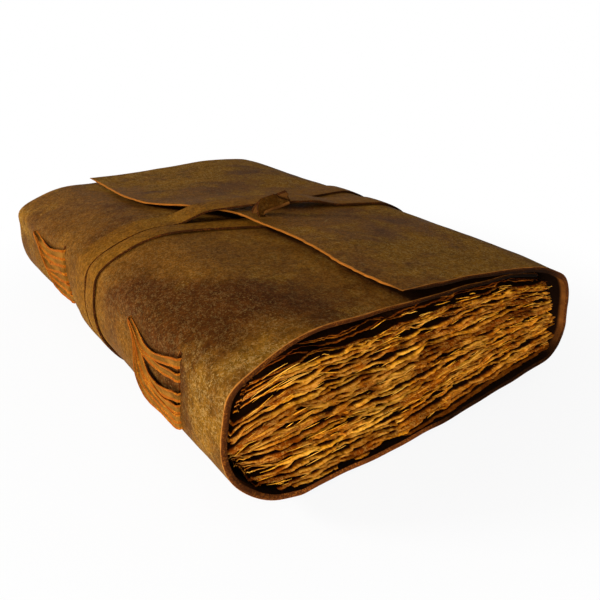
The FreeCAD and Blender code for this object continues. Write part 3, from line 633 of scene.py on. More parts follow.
# %% Loose fibres
def slivers(count, seed, end):
    """Torn fibres at the tail (end -1) or head (end 1): thin four-sided strands, each bent by a
    parabola and a cosine, tapering as sin(pi * t) to both tips."""
    rng = np.random.default_rng(seed)
    t = np.linspace(0, 1, 9)[None, :]
    one = lambda low, high: rng.uniform(low, high, (count, 1))
    share, length, lean = one(0.01, 0.97), one(3, 13), rng.normal(0, 0.13, (count, 1))
    x = spine_at(share) + 4 + 156 * one(0, 1) ** 1.25 + length * t
    bend = one(-1, 1) * 4 * t * (1 - t) + 0.25 * np.cos(one(5, 11) * t + one(0, 6))
    y = end * (121.4 + one(-0.8, 1.3) + 0.5 * bend)
    z = room_low(x) + (room_high(x) - room_low(x)) * share + lean * length * (t - 0.5) + 0.7 * bend
    centre = np.stack([x, y + 0 * x, z], -1)[:, :, None]
    angle = np.arange(4) * math.pi / 2
    ring_of_four = np.stack([0 * angle, np.cos(angle), np.sin(angle) * -end], -1)
    thick = (0.05 + one(0.06, 0.17) * np.sin(math.pi * t))[..., None, None]
    points = centre + thick * ring_of_four
    ids = np.arange(count * 36).reshape(count, 9, 4)
    ahead = np.roll(ids, -1, 2)
    sides = np.stack([ids[:, :-1], ids[:, 1:], ahead[:, 1:], ahead[:, :-1]], -1).reshape(-1, 4)
    caps = np.concatenate([ids[:, 0], ids[:, -1, ::-1]])
    return points.reshape(-1, 3), np.concatenate([sides, caps])


points, faces = join(slivers(260, 5, -1), slivers(160, 6, 1))
page_pieces.append(put_pages("torn_fibres", points, faces, np.full(len(points), -2.0),
                             np.full(len(points), 1.2)))

# %% [markdown]
# ## The wrap strap
# The strap is one flat thong, pulled through a slit in the flap. It runs back under the flap's
# edge to the spine, round under the book, over the fore edge and the flap, and once more round,
# and its end is tucked beneath the upper turn. Its line is the hide's own profile moved out by
# half a strap, so it bends where the book bends. A rounded section is then carried along it.

# %% The strap's line
# places along the hide's profile, as a length near them
FRONT, SPINE, BACK, FLAP = HIDE_SPAN, spine_middle, HIDE_SPAN - 340, 40.0


def strap_leg(marks):
    """Line of the strap on the hide, through marks (place, x or on the spine the height, y): the
    profile moved out by the gap and half the strap, never below half the strap over the ground."""
    s = np.array([length_at(z=at, near=near) if near == SPINE else length_at(x=at, near=near)
                  for near, at, y in marks])
    lengths = np.arange(s[0], s[-1], -0.5)
    point, n = along(hide_line, lengths)
    point = point + n * (GAP + STRAP / 2)
    y = np.interp(-lengths, -s, [y for near, at, y in marks])
    return np.stack([point[:, 0], y, np.maximum(point[:, 1], STRAP / 2)], 1)


def flap_height(x):
    """Height of the flap's outer face between its edge and its bend, by straight lines."""
    marks = flap_corners[:3]
    return np.interp(x, [m[0] for m in marks], [m[1] for m in marks])


first_turn = strap_leg([(FRONT, -7.5, -15), (FRONT, -16, -12.5), (FRONT, -40, -8.4),
                        (FRONT, -60, -5.4), (SPINE, 56, -2.1), (SPINE, 42, -0.1), (BACK, -58, -4),
                        (BACK, 58, -12), (FLAP, 58, -12), (FLAP, 44, -9)])
# (x, y, height of the strap's underside) of the upper turn, taut from the tucked end to the flap's
# edge and on to the front cover
over = [(40, -8, flap_height(40) + GAP), (34, -6.6, flap_height(34) + 0.7 * STRAP),
        (28, -5, flap_height(28) + STRAP + 2 * GAP), (3, 0.0, flap_height(3) + STRAP + 2 * GAP),
        (-31, 4.4, flap_height(-31) + 2 * GAP), (-46, 5.2, front_height(-46) + GAP)]
crossing = np.array(over) + [0, 0, STRAP / 2]
second_turn = strap_leg([(FRONT, -50, 5.6), (FRONT, -60, 7.6), (SPINE, 56, 11), (SPINE, 42, 13),
                         (BACK, -58, 12.5), (BACK, 58, 15), (FLAP, 62, 18), (FLAP, 30, 11.5),
                         (FLAP, 5, 1.5)])
strap_span, strap_line = softened(np.concatenate([first_turn, crossing, second_turn]), 2.5)
print("strap in view", round(strap_span[-1]), "mm long")


# %% A section carried along a line
def flat_section(width, thickness, columns, crown=0.0):
    """Closed section of a strap: offsets (w, h) over the top, round an edge, back beneath, round
    the other edge. The top is crowned by crown * (1 - t^2). Also the material of each side."""
    t = np.linspace(-1, 1, columns)
    half, flat_half = width / 2, width / 2 - 0.22 * thickness
    top = np.stack([t * flat_half, thickness / 2 + crown * (1 - t * t)], 1)
    side = np.array([[half, thickness * 0.25], [half + 0.1, 0.0], [half, -thickness * 0.25]])
    low = np.stack([-t * flat_half, -thickness / 2 + crown * (1 - t * t) * 0.5], 1)
    section = np.concatenate([top, side, low, side * [-1, -1]])
    parts = np.concatenate([np.zeros(columns - 1), np.ones(4), np.full(columns - 1, 2), np.ones(4)])
    return section, parts.astype(int)


def carried(line, out, sections, parts):
    """Points of a closed section carried along a line: line + side * w + out * h + tangent * a,
    where side is out x tangent; faces between neighbouring sections, and strips over both ends."""
    tangent = unit(np.gradient(line, axis=0))
    out = unit(out - tangent * np.sum(out * tangent, 1, keepdims=True))
    side = np.cross(out, tangent)
    sections = np.broadcast_to(sections, (len(line),) + np.shape(sections)[-2:])
    points = line[:, None] + side[:, None] * sections[..., :1] + out[:, None] * sections[..., 1:2]
    if sections.shape[-1] == 3:
        points = points + tangent[:, None] * sections[..., 2:]
    length, around = points.shape[:2]
    ids = np.arange(length * around).reshape(length, around)
    ahead = np.roll(ids, -1, 1)
    quads = np.stack([ids[:-1], ahead[:-1], ahead[1:], ids[1:]], -1).reshape(-1, 4)
    half = around // 2
    i = np.arange(half - 1)
    cap = np.stack([i, around - 1 - i, around - 2 - i, i + 1], 1)
    last = cap[:, ::-1] + (length - 1) * around
    quads = np.concatenate([quads, cap, last])
    kinds = np.concatenate([np.tile(parts, length - 1), np.ones(2 * len(cap), int)])
    return points.reshape(-1, 3), quads, kinds


def line_normal(line):
    """Outward normal of a line that runs against the hide's profile: its (x, z) way turned."""
    way = np.gradient(line, axis=0)
    return np.stack([way[:, 2], 0 * way[:, 0], -way[:, 0]], 1)


def length_map(line, sections):
    """Flat map of a carried section: length along the line, and length round the section."""
    section = sections if sections.ndim == 2 else sections[0]
    lengths = np.meshgrid(lengths_of(line), lengths_of(section), indexing="ij")
    return np.stack(lengths, -1).reshape(-1, 2) * MM


# %% The strap's band
band_line = softened(strap_line, 0, 1.2)[1]
band_s = np.linspace(0, strap_span[-1], len(band_line))
# worn thinner than the solid, and lying on the inner side of its room
WORN, LOWERED = 1.05, 0.45
section, section_parts = flat_section(STRAP_WIDTH, WORN, 9, 0.15)
section = section - [0, LOWERED]
# the first turn is narrower from the flap's edge to below the spine, where the second lies over it
low = np.argmax(band_line[:, 2] < 8)
under = step(-band_line[:, 0], 12, 44) * (1 - step(band_s, band_s[low], band_s[low] + 40))
widths = (1 + 0.02 * ripple(band_s, 0 * band_s, 61, 60, 12)) * (1 - 0.3 * under)
sections = section[None] * np.stack([widths, np.ones(len(widths))], 1)[:, None, :]
band = (*carried(settle(band_line), line_normal(band_line), sections, section_parts),
        length_map(band_line, section))

# %% The anchored stub
STUB_TURN, STUB_RISE, STUB_LENGTH = math.radians(-17), math.radians(15), 15.5
stub_way = np.array([math.cos(STUB_TURN) * math.cos(STUB_RISE),
                     math.sin(STUB_TURN) * math.cos(STUB_RISE), math.sin(STUB_RISE)])
foot = np.array([slit_x, slit_y, flap_height(slit_x) - 1.4])
bend = np.array([0.2, -0.3, 2.2])
stub_line = foot + np.array([[0, 0, 0], [0, 0, 1.4], bend, bend + stub_way * 0.5 * STUB_LENGTH,
                             bend + stub_way * STUB_LENGTH + [0, -0.3, 0.4]])
stub_line = softened(stub_line, 1.0, 0.35)[1]
# middle lines of the strap's section, from its near edge to its far edge: gathered in the slit,
# and rolled up like a gutter whose near wall leans over the far one
GATHERED = np.array([[-4.2, 2.0], [-3.6, 0.5], [-2.0, -0.3], [0, -0.5], [2.0, -0.3], [3.6, 0.5],
                     [4.2, 2.0]])
ROLLED = np.array([[0.2, 6.6], [-1.2, 4.4], [-2.6, 1.9], [-1.9, 0.3], [1.2, 0.4], [2.7, 2.8],
                   [1.6, 5.4]])


def rolled_section(middle, thickness, columns=21):
    """Closed section of a rolled strap: its middle line eased through the points, and the two faces
    half a thickness each side of it. Gives (w, h, share of the way from the near lip)."""
    line = softened(middle, 0.5, 0.1)[1]
    line = line[np.linspace(0, len(line) - 1, columns).round().astype(int)]
    way = unit(np.gradient(line, axis=0))
    n = np.stack([-way[:, 1], way[:, 0]], 1) * thickness / 2
    rims = [line[k] + n[k] * share + way[k] * thickness * 0.2 * sign
            for k, sign in ((-1, 1), (0, -1)) for share in (0.6 * sign, 0.0, -0.6 * sign)]
    section = np.concatenate([line + n, rims[:3], (line - n)[::-1], rims[3:]])
    t = np.linspace(0, 1, columns)
    share = np.concatenate([t, [1, 1, 1], t[::-1], [0, 0, 0]])
    # the grain side: its near wall takes the dark stub finish, partly painted shade, and the ridge
    # of the lower fold the lighter strap suede, a painted highlight
    grain = np.where(np.abs(t[::-1][:-1] - 0.43) < 0.07, 2, 3)
    parts = np.concatenate([np.full(columns - 1, 2), np.ones(4), grain, np.ones(4)])
    return section, share, parts.astype(int)


reach = np.linspace(0, 1, len(stub_line)) * (STUB_LENGTH + 3.2)
rolling = step(reach, 0.3, 4.5)[:, None, None]
gathered = rolled_section(GATHERED, STRAP)[0]
rolled, lip_share, stub_parts = rolled_section(ROLLED, STRAP * 0.85)
stub_sections = gathered + (rolled - gathered) * rolling
# the end is cut at a slant, so its near lip is shorter
slant = -6.5 * np.exp(-(lip_share / 0.3) ** 2) + 0.5 * np.sin(lip_share * 23)
slant = slant * (reach / reach[-1])[:, None] ** 3
stub_sections = np.concatenate([stub_sections, slant[..., None]], -1)
# outward side of the stub: towards the spine in the slit, upwards once it lies over
TO_SPINE, UPWARDS = np.array([-1.0, 0, 0.2]), np.array([-0.3, 0.05, 1.0])
stub_out = TO_SPINE + (UPWARDS - TO_SPINE) * step(reach, 1.0, 4.5)[:, None]
stub = (*carried(settle(stub_line), stub_out, stub_sections, stub_parts),
        length_map(stub_line, stub_sections[..., :2]))
strap = stand_for(put_mesh("journal_strap", *join(band, stub)), "wrap_strap")

# %% [markdown]
# ## The lacing
# Each bundle of pages is held by a thong that comes out of the apex hole and goes back in through
# the long slit nearer the tail. The thongs leave the hole on edge and lie flat at the slit, so
# each makes a quarter turn on its way. Their runs sag differently, and they are cut from soft
# hide whose edges curl.

# %% The thongs' lines
# (distance from the apex towards the tail, height) of the middle of each thong, upper ones first
TAIL_RUNS = [[(0, 51.5), (9, 49), (16, 46.5), (25, 46.8), (36, 50.2), (43.5, 53)],
             [(0, 51.5), (4, 50.9), (9, 48), (14, 45.5), (23, 43.8), (30, 43.9), (43.5, 47.2)],
             [(0, 51), (4, 46.5), (9, 41), (15, 37.5), (22, 35.4), (29, 35.2), (37, 36.8),
              (43.5, 39.4)],
             [(0, 51), (4, 46.5), (9, 40), (14, 36.8), (20, 34.6), (28, 32.6), (34, 32.2),
              (43.5, 34.5)],
             [(0, 50.5), (3, 44), (7.4, 36.8), (13, 33), (21, 30.8), (33, 29.8), (43.5, 30.4)],
             [(0, 50), (2.5, 42), (5, 34.5), (8, 29), (14.5, 26.8), (25, 26.3), (36, 26.7),
              (43.5, 27.5)]]
HEAD_RUNS = [[(0, 53), (8, 51.5), (18, 49.3), (26, 48.5), (36, 50), (43.5, 52)],
             [(0, 52.5), (6, 48), (13, 44.8), (22, 44.6), (34, 46), (43.5, 48)],
             [(0, 52), (4, 45), (9, 39.5), (16, 37), (28, 40.3), (43.5, 44)],
             [(0, 52), (5, 43), (12, 36), (24, 36), (36, 37.5), (43.5, 39.5)],
             [(0, 51.5), (4, 42), (9, 34.5), (18, 31.8), (30, 31.8), (43.5, 33.5)],
             [(0, 51), (4, 40), (9, 30), (16, 26), (28, 25), (43.5, 27.5)]]


# length of a run in view; the thong's width where it is pinched and what it gains on its way
RUN, PINCHED, WIDENED = 43.6, 0.42, 0.5


def thong_line(run, slit_y):
    """Line, outward directions and widths of a thong: in through the hide, pinched on edge at the
    apex, with a quarter turn on its way, and back in through the slit. Out = away * sin + up * cos
    of the turn, and the height starts at the apex and eases to the run as exp(-d / 2)."""
    reach, height = np.array(run, float).T
    d = np.arange(0.0, RUN, 0.7)
    z = averaged(np.interp(d, reach, height), 12, 3.0)
    z = z + (height[0] - z[0]) * np.exp(-d / 2)
    t = d / d[-1]
    turn = np.pi / 2 * step(t, 0.05, 0.7)
    sine, cosine = np.sin(turn), np.cos(turn)
    width = PINCHED + WIDENED * step(t, 0.0, 0.8)
    stand = GAP + THONG_WIDTH * width / 2 * cosine + THONG / 2 * sine + 0.6 * t * (1 - t)
    line = np.stack([spine_x(z) - HIDE - stand, slit_y + LACING_SPAN - 0.2 - d, z], 1)
    face = np.stack([-sine, 0 * z, cosine], 1)
    first = line[0] + np.array([[6.0, 1.0, 0.2], [2.6, 0.9, 0.1], [0.6, 0.7, 0.0]])
    last = line[-1] + np.array([[0.3, -0.7, 0.0], [1.6, -0.9, 0.0], [6.0, -0.9, 0.0]])
    last_face = np.array([[-0.8, -0.6, 0.0], [-0.3, -0.95, 0.0], [0.0, -1.0, 0.0]])
    faces = np.concatenate([np.repeat(face[:1], 3, 0), face, last_face])
    return np.concatenate([first, line, last]), faces, np.pad(width, 3, "edge")


def thong_section(columns=11, curl=0.75):
    """Section of a thong: a strip whose edges curl up by curl * t^2, like a shallow channel. The
    outer fifth on each side is edge, the rest face."""
    section, parts = flat_section(THONG_WIDTH, THONG * 0.7, columns)
    t = np.clip(section[:, 0] / (THONG_WIDTH / 2), -1, 1)
    parts[[0, 1, columns - 3, columns - 2]] = 1
    return section + np.stack([0 * t, curl * t * t], 1), parts


section, section_parts = thong_section()
thong_pieces = []
for station, runs, broad in (("tail", TAIL_RUNS, 1.0), ("head", HEAD_RUNS, 1.35)):
    for order, run in enumerate(runs):
        line, out, widths = thong_line(run, SLIT_Y[station])
        d = np.linspace(0, 60, len(line))
        widths = broad * widths * (1 + 0.1 * ripple(d, 0 * d, 70 + order + 10 * (broad > 1), 30, 6))
        sections = section[None] * np.stack([widths, np.sqrt(widths)], 1)[:, None]
        shape = carried(settle(line), out, sections, section_parts)
        piece = put_mesh(f"{station}_lacing_{order + 1}", *shape, length_map(line, section))
        thong_pieces.append(stand_for(piece, f"{station}_thong_{order + 1}"))

# %% [markdown]
# ## Finishes
# Every finish is worked out from position alone: noise at several sizes gives masks, and the masks
# mix colours, roughness and small heights. What several finishes share is a node group, built
# once. Scales are features per metre, so noise at 1000 has grains of one millimetre.

# %% Helpers for nodes
def feed(value, socket):
    """Give an input a value, or link it to the output that feeds it."""
    if isinstance(value, bpy.types.NodeSocket):
        socket.id_data.links.new(value, socket)
    else:
        socket.default_value = value


def make(kind, values, tree=None, **settings):
    """A node with its settings and its inputs {name: value or output}, in the tree of the first
    output among them, or in the tree that is given."""
    outputs = [v for v in values.values() if isinstance(v, bpy.types.NodeSocket)]
    node = (tree or outputs[0].id_data).nodes.new(kind)
    for key, value in settings.items():
        setattr(node, key, value)
    for key, value in values.items():
        feed(value, node.inputs[key])
    return node


def compute(operation, *values):
    """One step of arithmetic on values or outputs."""
    return make("ShaderNodeMath", dict(enumerate(values)), operation=operation).outputs[0]


def times(a, b):
    """a * b."""
    return compute("MULTIPLY", a, b)


def scaled(value, factor, added):
    """value * factor + added."""
    return compute("MULTIPLY_ADD", value, factor, added)


def larger(a, b):
    """The larger of a and b."""
    return compute("MAXIMUM", a, b)


def field(tree, name):
    """The value that the mesh keeps at each point under this name."""
    return make("ShaderNodeAttribute", {}, tree, attribute_name=name).outputs["Fac"]


def ramp(value, low, high, start=0.0, end=1.0):
    """start below low, end above high, and an S-curve between."""
    limits = {"Value": value, "From Min": low, "From Max": high, "To Min": start, "To Max": end}
    return make("ShaderNodeMapRange", limits, interpolation_type="SMOOTHSTEP").outputs[0]


def noise(vector, scale, detail=2.0, rough=0.5, twist=0.0):
    """Noise around 0.5, with detail octaves below the scale and a twist of its own making."""
    values = {"Vector": vector, "Scale": scale, "Detail": detail, "Roughness": rough,
              "Distortion": twist}
    return make("ShaderNodeTexNoise", values).outputs[0]


def stretched(vector, scale, turn=0.0, place=(0.0, 0.0, 0.0)):
    """The vector turned about z and scaled, so that noise on it runs in streaks."""
    values = {"Vector": vector, "Scale": scale, "Rotation": (0.0, 0.0, turn), "Location": place}
    return make("ShaderNodeMapping", values).outputs[0]


def blend(share, a, b, how="MIX"):
    """Colour a towards b by a share. A colour is an output or three numbers."""
    a, b = [(*c, 1) if isinstance(c, tuple) else c for c in (a, b)]
    node = make("ShaderNodeMix", {0: share, 6: a, 7: b}, data_type="RGBA", blend_type=how)
    return node.outputs[2]


def dimmed(tone, value):
    """A colour times a value."""
    grey = make("ShaderNodeCombineColor", {0: value, 1: value, 2: value}).outputs[0]
    return blend(1.0, tone, grey, "MULTIPLY")


def new_group(name, inputs, outputs):
    """An empty node group with inputs {name: kind of socket} and outputs that are values."""
    group = bpy.data.node_groups.new(name, "ShaderNodeTree")
    for key, kind in inputs.items():
        group.interface.new_socket(key, in_out="INPUT", socket_type="NodeSocket" + kind)
    for key in outputs:
        group.interface.new_socket(key, in_out="OUTPUT", socket_type="NodeSocketFloat")
    return group, make("NodeGroupInput", {}, group).outputs


def use(group, values):
    """The outputs of a shared group for these inputs."""
    return make("ShaderNodeGroup", values, node_tree=group).outputs


# %% Shared masks
def patches_group():
    """Oil moves under a handled hide: Scuff and Shade are broad soft patches with clouded rims,
    Mottle a fine uneven tone, and Grain its grain of half a millimetre."""
    group, given = new_group("patches", {"Vector": "Vector"}, ["Scuff", "Shade", "Mottle", "Grain"])
    broad = noise(given[0], 11.0, 3.0, 0.55, 0.5)
    middle = noise(given[0], 55.0, 4.0, 0.65, 0.3)
    moved = stretched(given[0], (1.0, 1.0, 1.0), 0.9, (0.31, 0.17, 0.05))
    dusk = noise(moved, 14.0, 4.0, 0.6, 0.4)
    fine = noise(given[0], 260.0, 3.0, 0.6)
    both = scaled(middle, 0.45, times(broad, 0.55))
    make("NodeGroupOutput", {"Scuff": ramp(both, 0.44, 0.62), "Shade": ramp(dusk, 0.46, 0.66),
                             "Mottle": scaled(middle, 0.35, times(fine, 0.65)),
                             "Grain": noise(given[0], 850.0, 3.0, 0.7)})
    return group


# for each layer of hairs: scale, turn, scale and low end of what keeps them, and their width
HAIRS = ((560.0, 0.0, 420.0, 0.49, 1.0), (820.0, 1.3, 520.0, 0.49, 1.2),
         (30.0, 0.6, 34.0, 0.6, 0.085))


def fibres_group():
    """Hair-thin marks. Where noise passes 0.5 it draws a thin winding line; a second noise keeps
    only short bits of it. Two fine layers make Fibre, a coarse rare one makes the long Scratch,
    and Speck is a scatter of pale dots."""
    group, given = new_group("fibres", {"Vector": "Vector", "Width": "Float"},
                             ["Fibre", "Scratch", "Speck"])
    layers = []
    for scale, turn, keep, low, thin in HAIRS:
        turned = stretched(given[0], (1.0, 0.72, 1.0), turn)
        off = compute("SUBTRACT", noise(turned, scale, 1.0, 0.5, 0.6), 0.5)
        share = compute("DIVIDE", compute("ABSOLUTE", off), given[1])
        line = ramp(share, 0.3 * thin, thin, 1.0, 0.0)
        kept = ramp(noise(turned, keep, 2.0), low, low + 0.07)
        layers.append(times(line, kept))
    dots = ramp(noise(given[0], 1200.0, 1.5), 0.59, 0.72)
    near = ramp(noise(given[0], 90.0, 3.0), 0.40, 0.62, 0.35, 1.0)
    make("NodeGroupOutput", {"Fibre": larger(*layers[:2]), "Scratch": layers[2],
                             "Speck": times(dots, near)})
    return group


def pores_group():
    """Height of leather grain: rounded cells of about a millimetre and a finer grit."""
    group, given = new_group("pores", {"Vector": "Vector"}, ["Height"])
    values = {"Vector": given[0], "Scale": 1150.0, "Randomness": 1.0}
    cells = make("ShaderNodeTexVoronoi", values).outputs["Distance"]
    creases = noise(given[0], 420.0, 3.0, 0.6, 0.8)
    grit = noise(given[0], 2600.0, 2.0)
    height = scaled(creases, 1.1, times(cells, -0.55))
    make("NodeGroupOutput", {"Height": scaled(grit, 0.35, height)})
    return group


patches, fibres, pores = patches_group(), fibres_group(), pores_group()
print("shared masks:", [group.name for group in (patches, fibres, pores)])


# %% Oiled leather
def new_material(name, rough, specular):
    """Material with its shader and Object coordinates. Specular is low, for waxed hide is dull."""
    material = bpy.data.materials.new(name)
    material.use_nodes = True
    shader = material.node_tree.nodes["Principled BSDF"]
    feed(rough, shader.inputs["Roughness"])
    feed(specular, shader.inputs["Specular IOR Level"])
    feed((1.0, 0.72, 0.42, 1.0), shader.inputs["Specular Tint"])
    place = make("ShaderNodeTexCoord", {}, material.node_tree).outputs["Object"]
    return material, material.node_tree, shader, place


def paint_with(shader, tone, height, strength, distance):
    """Give a shader its colour and its small heights."""
    bump = {"Height": height, "Strength": strength, "Distance": distance}
    feed(tone, shader.inputs["Base Color"])
    feed(make("ShaderNodeBump", bump).outputs[0], shader.inputs["Normal"])


# painted shade: the nearly black colour for the front cover under the flap
PAINTED_DEEP_SHADE = (0.004, 0.0015, 0.0005)


def oiled(name, deep, body, scuffed, pale, scuffing=1.0, edge=None):
    """Pull-up leather: body colour, darker where oil sits and where shade is painted, lighter and
    duller where it was rubbed, with pale fibres. Where edge is a colour, half a millimetre along
    every cut is rubbed to it."""
    material, tree, shader, place = new_material(name, 0.55, 0.005)
    patch = use(patches, {"Vector": place})
    thin = use(fibres, {"Vector": place, "Width": 0.045})
    oil_and_shade = field(tree, "oil_and_shade")
    # painted shade comes in through the same field as the oil: the stub's shadow and the shade
    # between the thongs turn to the deep colour
    shade = scaled(oil_and_shade, 0.5, times(patch["Shade"], 0.65))
    tone = blend(ramp(shade, 0.0, 1.0), body, deep)
    rub = ramp(scaled(oil_and_shade, -0.5, times(patch["Scuff"], scuffing)), 0.0, 1.0)
    tone = blend(times(rub, 0.6), tone, scuffed)
    uneven = times(ramp(patch["Mottle"], 0.28, 0.72, 0.68, 1.34),
                   ramp(patch["Grain"], 0.34, 0.66, 0.70, 1.30))
    tone = dimmed(tone, uneven)
    marks = larger(times(thin["Fibre"], 0.4), times(thin["Speck"], 0.75))
    marks = times(marks, scaled(rub, 0.65, 0.35))
    marks = larger(marks, times(thin["Scratch"], 0.4))
    tone = blend(marks, tone, pale)
    # painted shade: nearly black where the patch value nears DARKEST, under the flap
    tone = blend(ramp(oil_and_shade, DARKEST / 2, DARKEST - 0.1, 0.0, 0.85), tone, PAINTED_DEEP_SHADE)
    if edge:
        wander = scaled(noise(place, 300.0, 3.0), 0.9, field(tree, "from_cut"))
        tone = blend(ramp(wander, 0.5, 1.1, 0.8, 0.0), tone, edge)
    worn = scaled(rub, 0.16, scaled(patch["Mottle"], 0.2, 0.42))
    feed(worn, shader.inputs["Roughness"])
    paint_with(shader, tone, use(pores, {"Vector": place})["Height"], 0.5, 0.0003)
    return material


hide_out = oiled("oiled_hide", (0.052, 0.0155, 0.0026), (0.118, 0.045, 0.0056),
                 (0.180, 0.082, 0.0090), (0.38, 0.235, 0.075), 1.0, (0.40, 0.145, 0.022))
strap_out = oiled("oiled_strap", (0.080, 0.027, 0.0026), (0.130, 0.049, 0.0044),
                  (0.175, 0.076, 0.0080), (0.34, 0.19, 0.04), 0.7)
# the stub: leather darkened by handling, and by painted shade on its near wall
stub_out = oiled("stub_shaded_leather", (0.020, 0.0065, 0.001), (0.032, 0.0108, 0.0012),
                 (0.058, 0.023, 0.003), (0.16, 0.085, 0.02), 0.5)


# %% Raw edges, suede and paper
def raw_edge(name, fibre, speck, corner=None, fresh=None):
    """Cut edge of a hide: dark fibre with brighter specks of half a millimetre. The hide's own
    edge also has a corner colour in the first tenth of its thickness under the grain side where it
    is painted lit, a fresh colour at the free edge of the flap, and is dimmed by painted shade
    along it."""
    material, tree, shader, place = new_material(name, 0.85, 0.04)
    grain = noise(place, 1400.0, 3.0, 0.7)
    broad = noise(place, 150.0, 3.0, 0.6)
    spots = times(ramp(grain, 0.45, 0.66), ramp(broad, 0.36, 0.62, 0.15, 1.0))
    tone = blend(spots, fibre, speck)
    if corner:
        # painted light and shade along the edge
        lit = field(tree, "edge_light_painted")
        tone = dimmed(tone, lit)
        wander = scaled(broad, 0.3, field(tree, "across"))
        line = times(ramp(wander, 0.12, 0.24, 0.85, 0.0), ramp(lit, 0.0, 0.3))
        tone = blend(line, tone, corner)
        light = blend(ramp(grain, 0.4, 0.7, 0.0, 0.6), fresh, speck)
        at_flap = ramp(field(tree, "from_flap"), 0.2, 0.8, 1.0, 0.0)
        tone = blend(at_flap, tone, light)
    paint_with(shader, tone, grain, 0.6, 0.0005)
    return material


def suede(name, dark, light, inside=False):
    """Flesh side: a short nap, brushed lighter and darker in streaks along the hide. Inside the
    book it has painted shade, nearly black beyond 3 mm from a cut, and everywhere below 12 to 30
    mm."""
    material, tree, shader, place = new_material(name, 0.95, 0.03)
    nap = noise(place, 1900.0, 3.0, 0.7)
    brushed = noise(stretched(place, (1.0, 0.35, 1.0)), 160.0, 4.0, 0.65)
    tone = blend(ramp(brushed, 0.35, 0.68), dark, light)
    tone = blend(ramp(nap, 0.4, 0.7, 0.0, 0.5), tone, light)
    if inside:
        # painted shade inside the book, near black
        height = make("ShaderNodeSeparateXYZ", {0: place}).outputs["Z"]
        inner_shade = larger(ramp(field(tree, "from_cut"), 1.4, 3.6),
                        ramp(height, 0.012, 0.03, 1.0, 0.0))
        tone = blend(inner_shade, tone, (0.006, 0.0022, 0.001))
    paint_with(shader, tone, nap, 0.7, 0.0006)
    return material


# paper, by how much of the dye it took; its fine clouds; and the painted shade between two sheets
DYED = (0.26, 0.052, 0.0018), (0.58, 0.170, 0.005), (0.78, 0.315, 0.012)
CLOUD, SHADED, UNLIT, TORN = ((0.22, 0.040, 0.0018), (0.125, 0.021, 0.0012),
                              (0.008, 0.0025, 0.0006), (0.88, 0.50, 0.09))


def handmade_paper():
    """Dyed rag paper. Each sheet has its own tone; 1 to 3 mm behind its tip painted shade turns it
    red-brown and then nearly black, as between real sheets; torn tips and loose fibres are pale."""
    material, tree, shader, place = new_material("deckle_edge", 0.9, 0.03)
    stain = noise(place, 70.0, 4.0, 0.6, 0.6)
    fine = noise(place, 520.0, 4.0, 0.7)
    pulp = scaled(stain, 1.6, scaled(field(tree, "tone"), 0.55, -0.75))
    tone = blend(ramp(pulp, -0.1, 0.35), DYED[0], DYED[1])
    tone = blend(ramp(pulp, 0.2, 0.7), tone, DYED[2])
    tone = blend(ramp(fine, 0.48, 0.66, 0.0, 0.6), tone, CLOUD)
    # painted shade between the sheets, growing with the distance behind the tip
    inward = scaled(fine, 1.3, compute("ADD", field(tree, "shade_depth"), -0.65))
    tone = blend(ramp(inward, 0.45, 1.5, 0.0, 0.9), tone, SHADED)
    tone = blend(ramp(inward, 1.3, 2.6), tone, UNLIT)
    hairs = use(fibres, {"Vector": place, "Width": 0.06})["Fibre"]
    torn = times(ramp(inward, 0.05, 0.5, 1.0, 0.0), ramp(stain, 0.42, 0.62))
    at_tip = times(hairs, ramp(inward, 0.8, 1.8, 0.3, 0.0))
    tone = blend(larger(times(torn, 0.5), at_tip), tone, TORN)
    rough = scaled(fine, 1.2, noise(place, 1300.0, 4.0, 0.7))
    paint_with(shader, tone, rough, 0.5, 0.0006)
    return material


hide_edge = raw_edge("hide_edge", (0.075, 0.019, 0.004), (0.30, 0.085, 0.010),
                     (0.33, 0.12, 0.020), (0.29, 0.094, 0.011))
strap_edge = raw_edge("strap_edge", (0.024, 0.007, 0.0015), (0.12, 0.032, 0.005))
thong_edge = raw_edge("thong_edge", (0.24, 0.055, 0.004), (0.46, 0.165, 0.009))
thong_face = suede("thong_face", (0.09, 0.036, 0.005), (0.25, 0.098, 0.012))
hide_in = suede("hide_suede", (0.09, 0.026, 0.005), (0.20, 0.062, 0.010), True)
strap_in = suede("strap_suede", (0.055, 0.019, 0.004), (0.125, 0.046, 0.009))
thong_in = suede("thong_suede", (0.18, 0.056, 0.006), (0.30, 0.105, 0.014))
paper = handmade_paper()

# %% Finishes on the pieces
dressed = [(hide, (hide_out, hide_edge, hide_in)),
           (strap, (strap_out, strap_edge, strap_in, stub_out))]
dressed += [(piece, (paper,)) for piece in page_pieces]
dressed += [(piece, (thong_face, thong_edge, thong_in)) for piece in thong_pieces]
for piece, finishes in dressed:
    for finish in finishes:
        piece.data.materials.append(finish)
worn_finishes = {finish.name for _, finishes in dressed for finish in finishes}
print("dressed", len(dressed), "pieces in", len(worn_finishes), "finishes")

# %% [markdown]
# ## Floor and light
# A plain white sweep shows a colour about as it is written. Two small lamps do most of the work.
# One stands above the spine's side, beyond the head, and sets off the flap's edge and the strap.
# One is low off the corner of spine and tail, so the spine and the torn page edges are brighter
# than the cover. A faint broad lamp overhead and a dim sky keep the shadows soft.

# %% Floor, world and lamps
def emptied(owner):
    """The node tree of a material or world, with nothing in it."""
    owner.use_nodes = True
    owner.node_tree.nodes.clear()
    return owner.node_tree


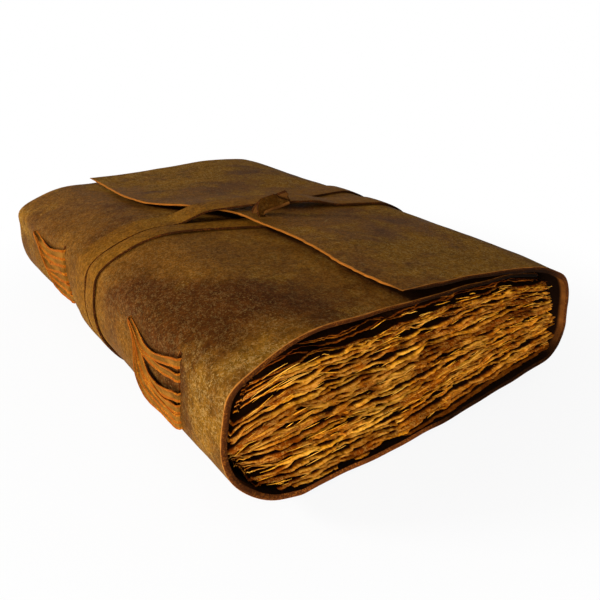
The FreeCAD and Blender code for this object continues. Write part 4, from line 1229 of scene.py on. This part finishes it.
def seen_directly(tree):
    """1 for rays from the camera, mirror-like reflections and glass, 0 for the rest."""
    rays = make("ShaderNodeLightPath", {}, tree).outputs
    near = larger(rays["Is Camera Ray"], rays["Is Glossy Ray"])
    return larger(near, rays["Is Transmission Ray"])


def mix_out(kind, share, a, b):
    """Send shader a, or b by a share, to the output."""
    mixed = make("ShaderNodeMixShader", {0: share, 1: a.outputs[0], 2: b.outputs[0]})
    make(kind, {"Surface": mixed.outputs[0]})


WHITE, FAR = (1, 1, 1, 1), 4000
corners = [[-FAR, -FAR, 0], [FAR, -FAR, 0], [FAR, FAR, 0], [-FAR, FAR, 0]]
floor = put_mesh("studio_floor", corners, np.array([[0, 1, 2, 3]]))
white = bpy.data.materials.new("studio_white")
tree = emptied(white)
paint = make("ShaderNodeBsdfDiffuse", {"Color": (0.86, 0.86, 0.86, 1)}, tree)
glow = make("ShaderNodeEmission", {"Color": WHITE, "Strength": 1.0}, tree)
place = make("ShaderNodeTexCoord", {}, tree).outputs["Object"]
away = make("ShaderNodeVectorMath", {0: place}, operation="LENGTH").outputs["Value"]
share = times(seen_directly(tree), ramp(away, 0.14, 0.28, 0.9, 1.0))
mix_out("ShaderNodeOutputMaterial", share, paint, glow)
floor.data.materials.append(white)

world = bpy.data.worlds.new("studio")
bpy.context.scene.world = world
tree = emptied(world)
sky, plain = [make("ShaderNodeBackground", {"Color": WHITE, "Strength": strength}, tree)
              for strength in (0.17, 1.0)]
mix_out("ShaderNodeOutputWorld", seen_directly(tree), sky, plain)


def lamp(name, place, size, watts):
    """Square area lamp that faces the book's middle."""
    data = bpy.data.lights.new(name, "AREA")
    data.size, data.energy = size, watts
    light = bpy.data.objects.new(name, data)
    light.location = place
    way = Vector((0, 0, 0.04)) - Vector(place)
    light.rotation_euler = way.to_track_quat("-Z", "Y").to_euler()
    bpy.context.scene.collection.objects.link(light)


lamp("soft_key", (-1.15, 0.6, 0.6), 0.3, 18.0)
lamp("soft_corner", (-0.62, -0.78, 0.12), 0.4, 17.0)
lamp("soft_top", (-0.2, -0.3, 1.4), 0.8, 1.6)
print("lamps", [light.name for light in bpy.data.lights])
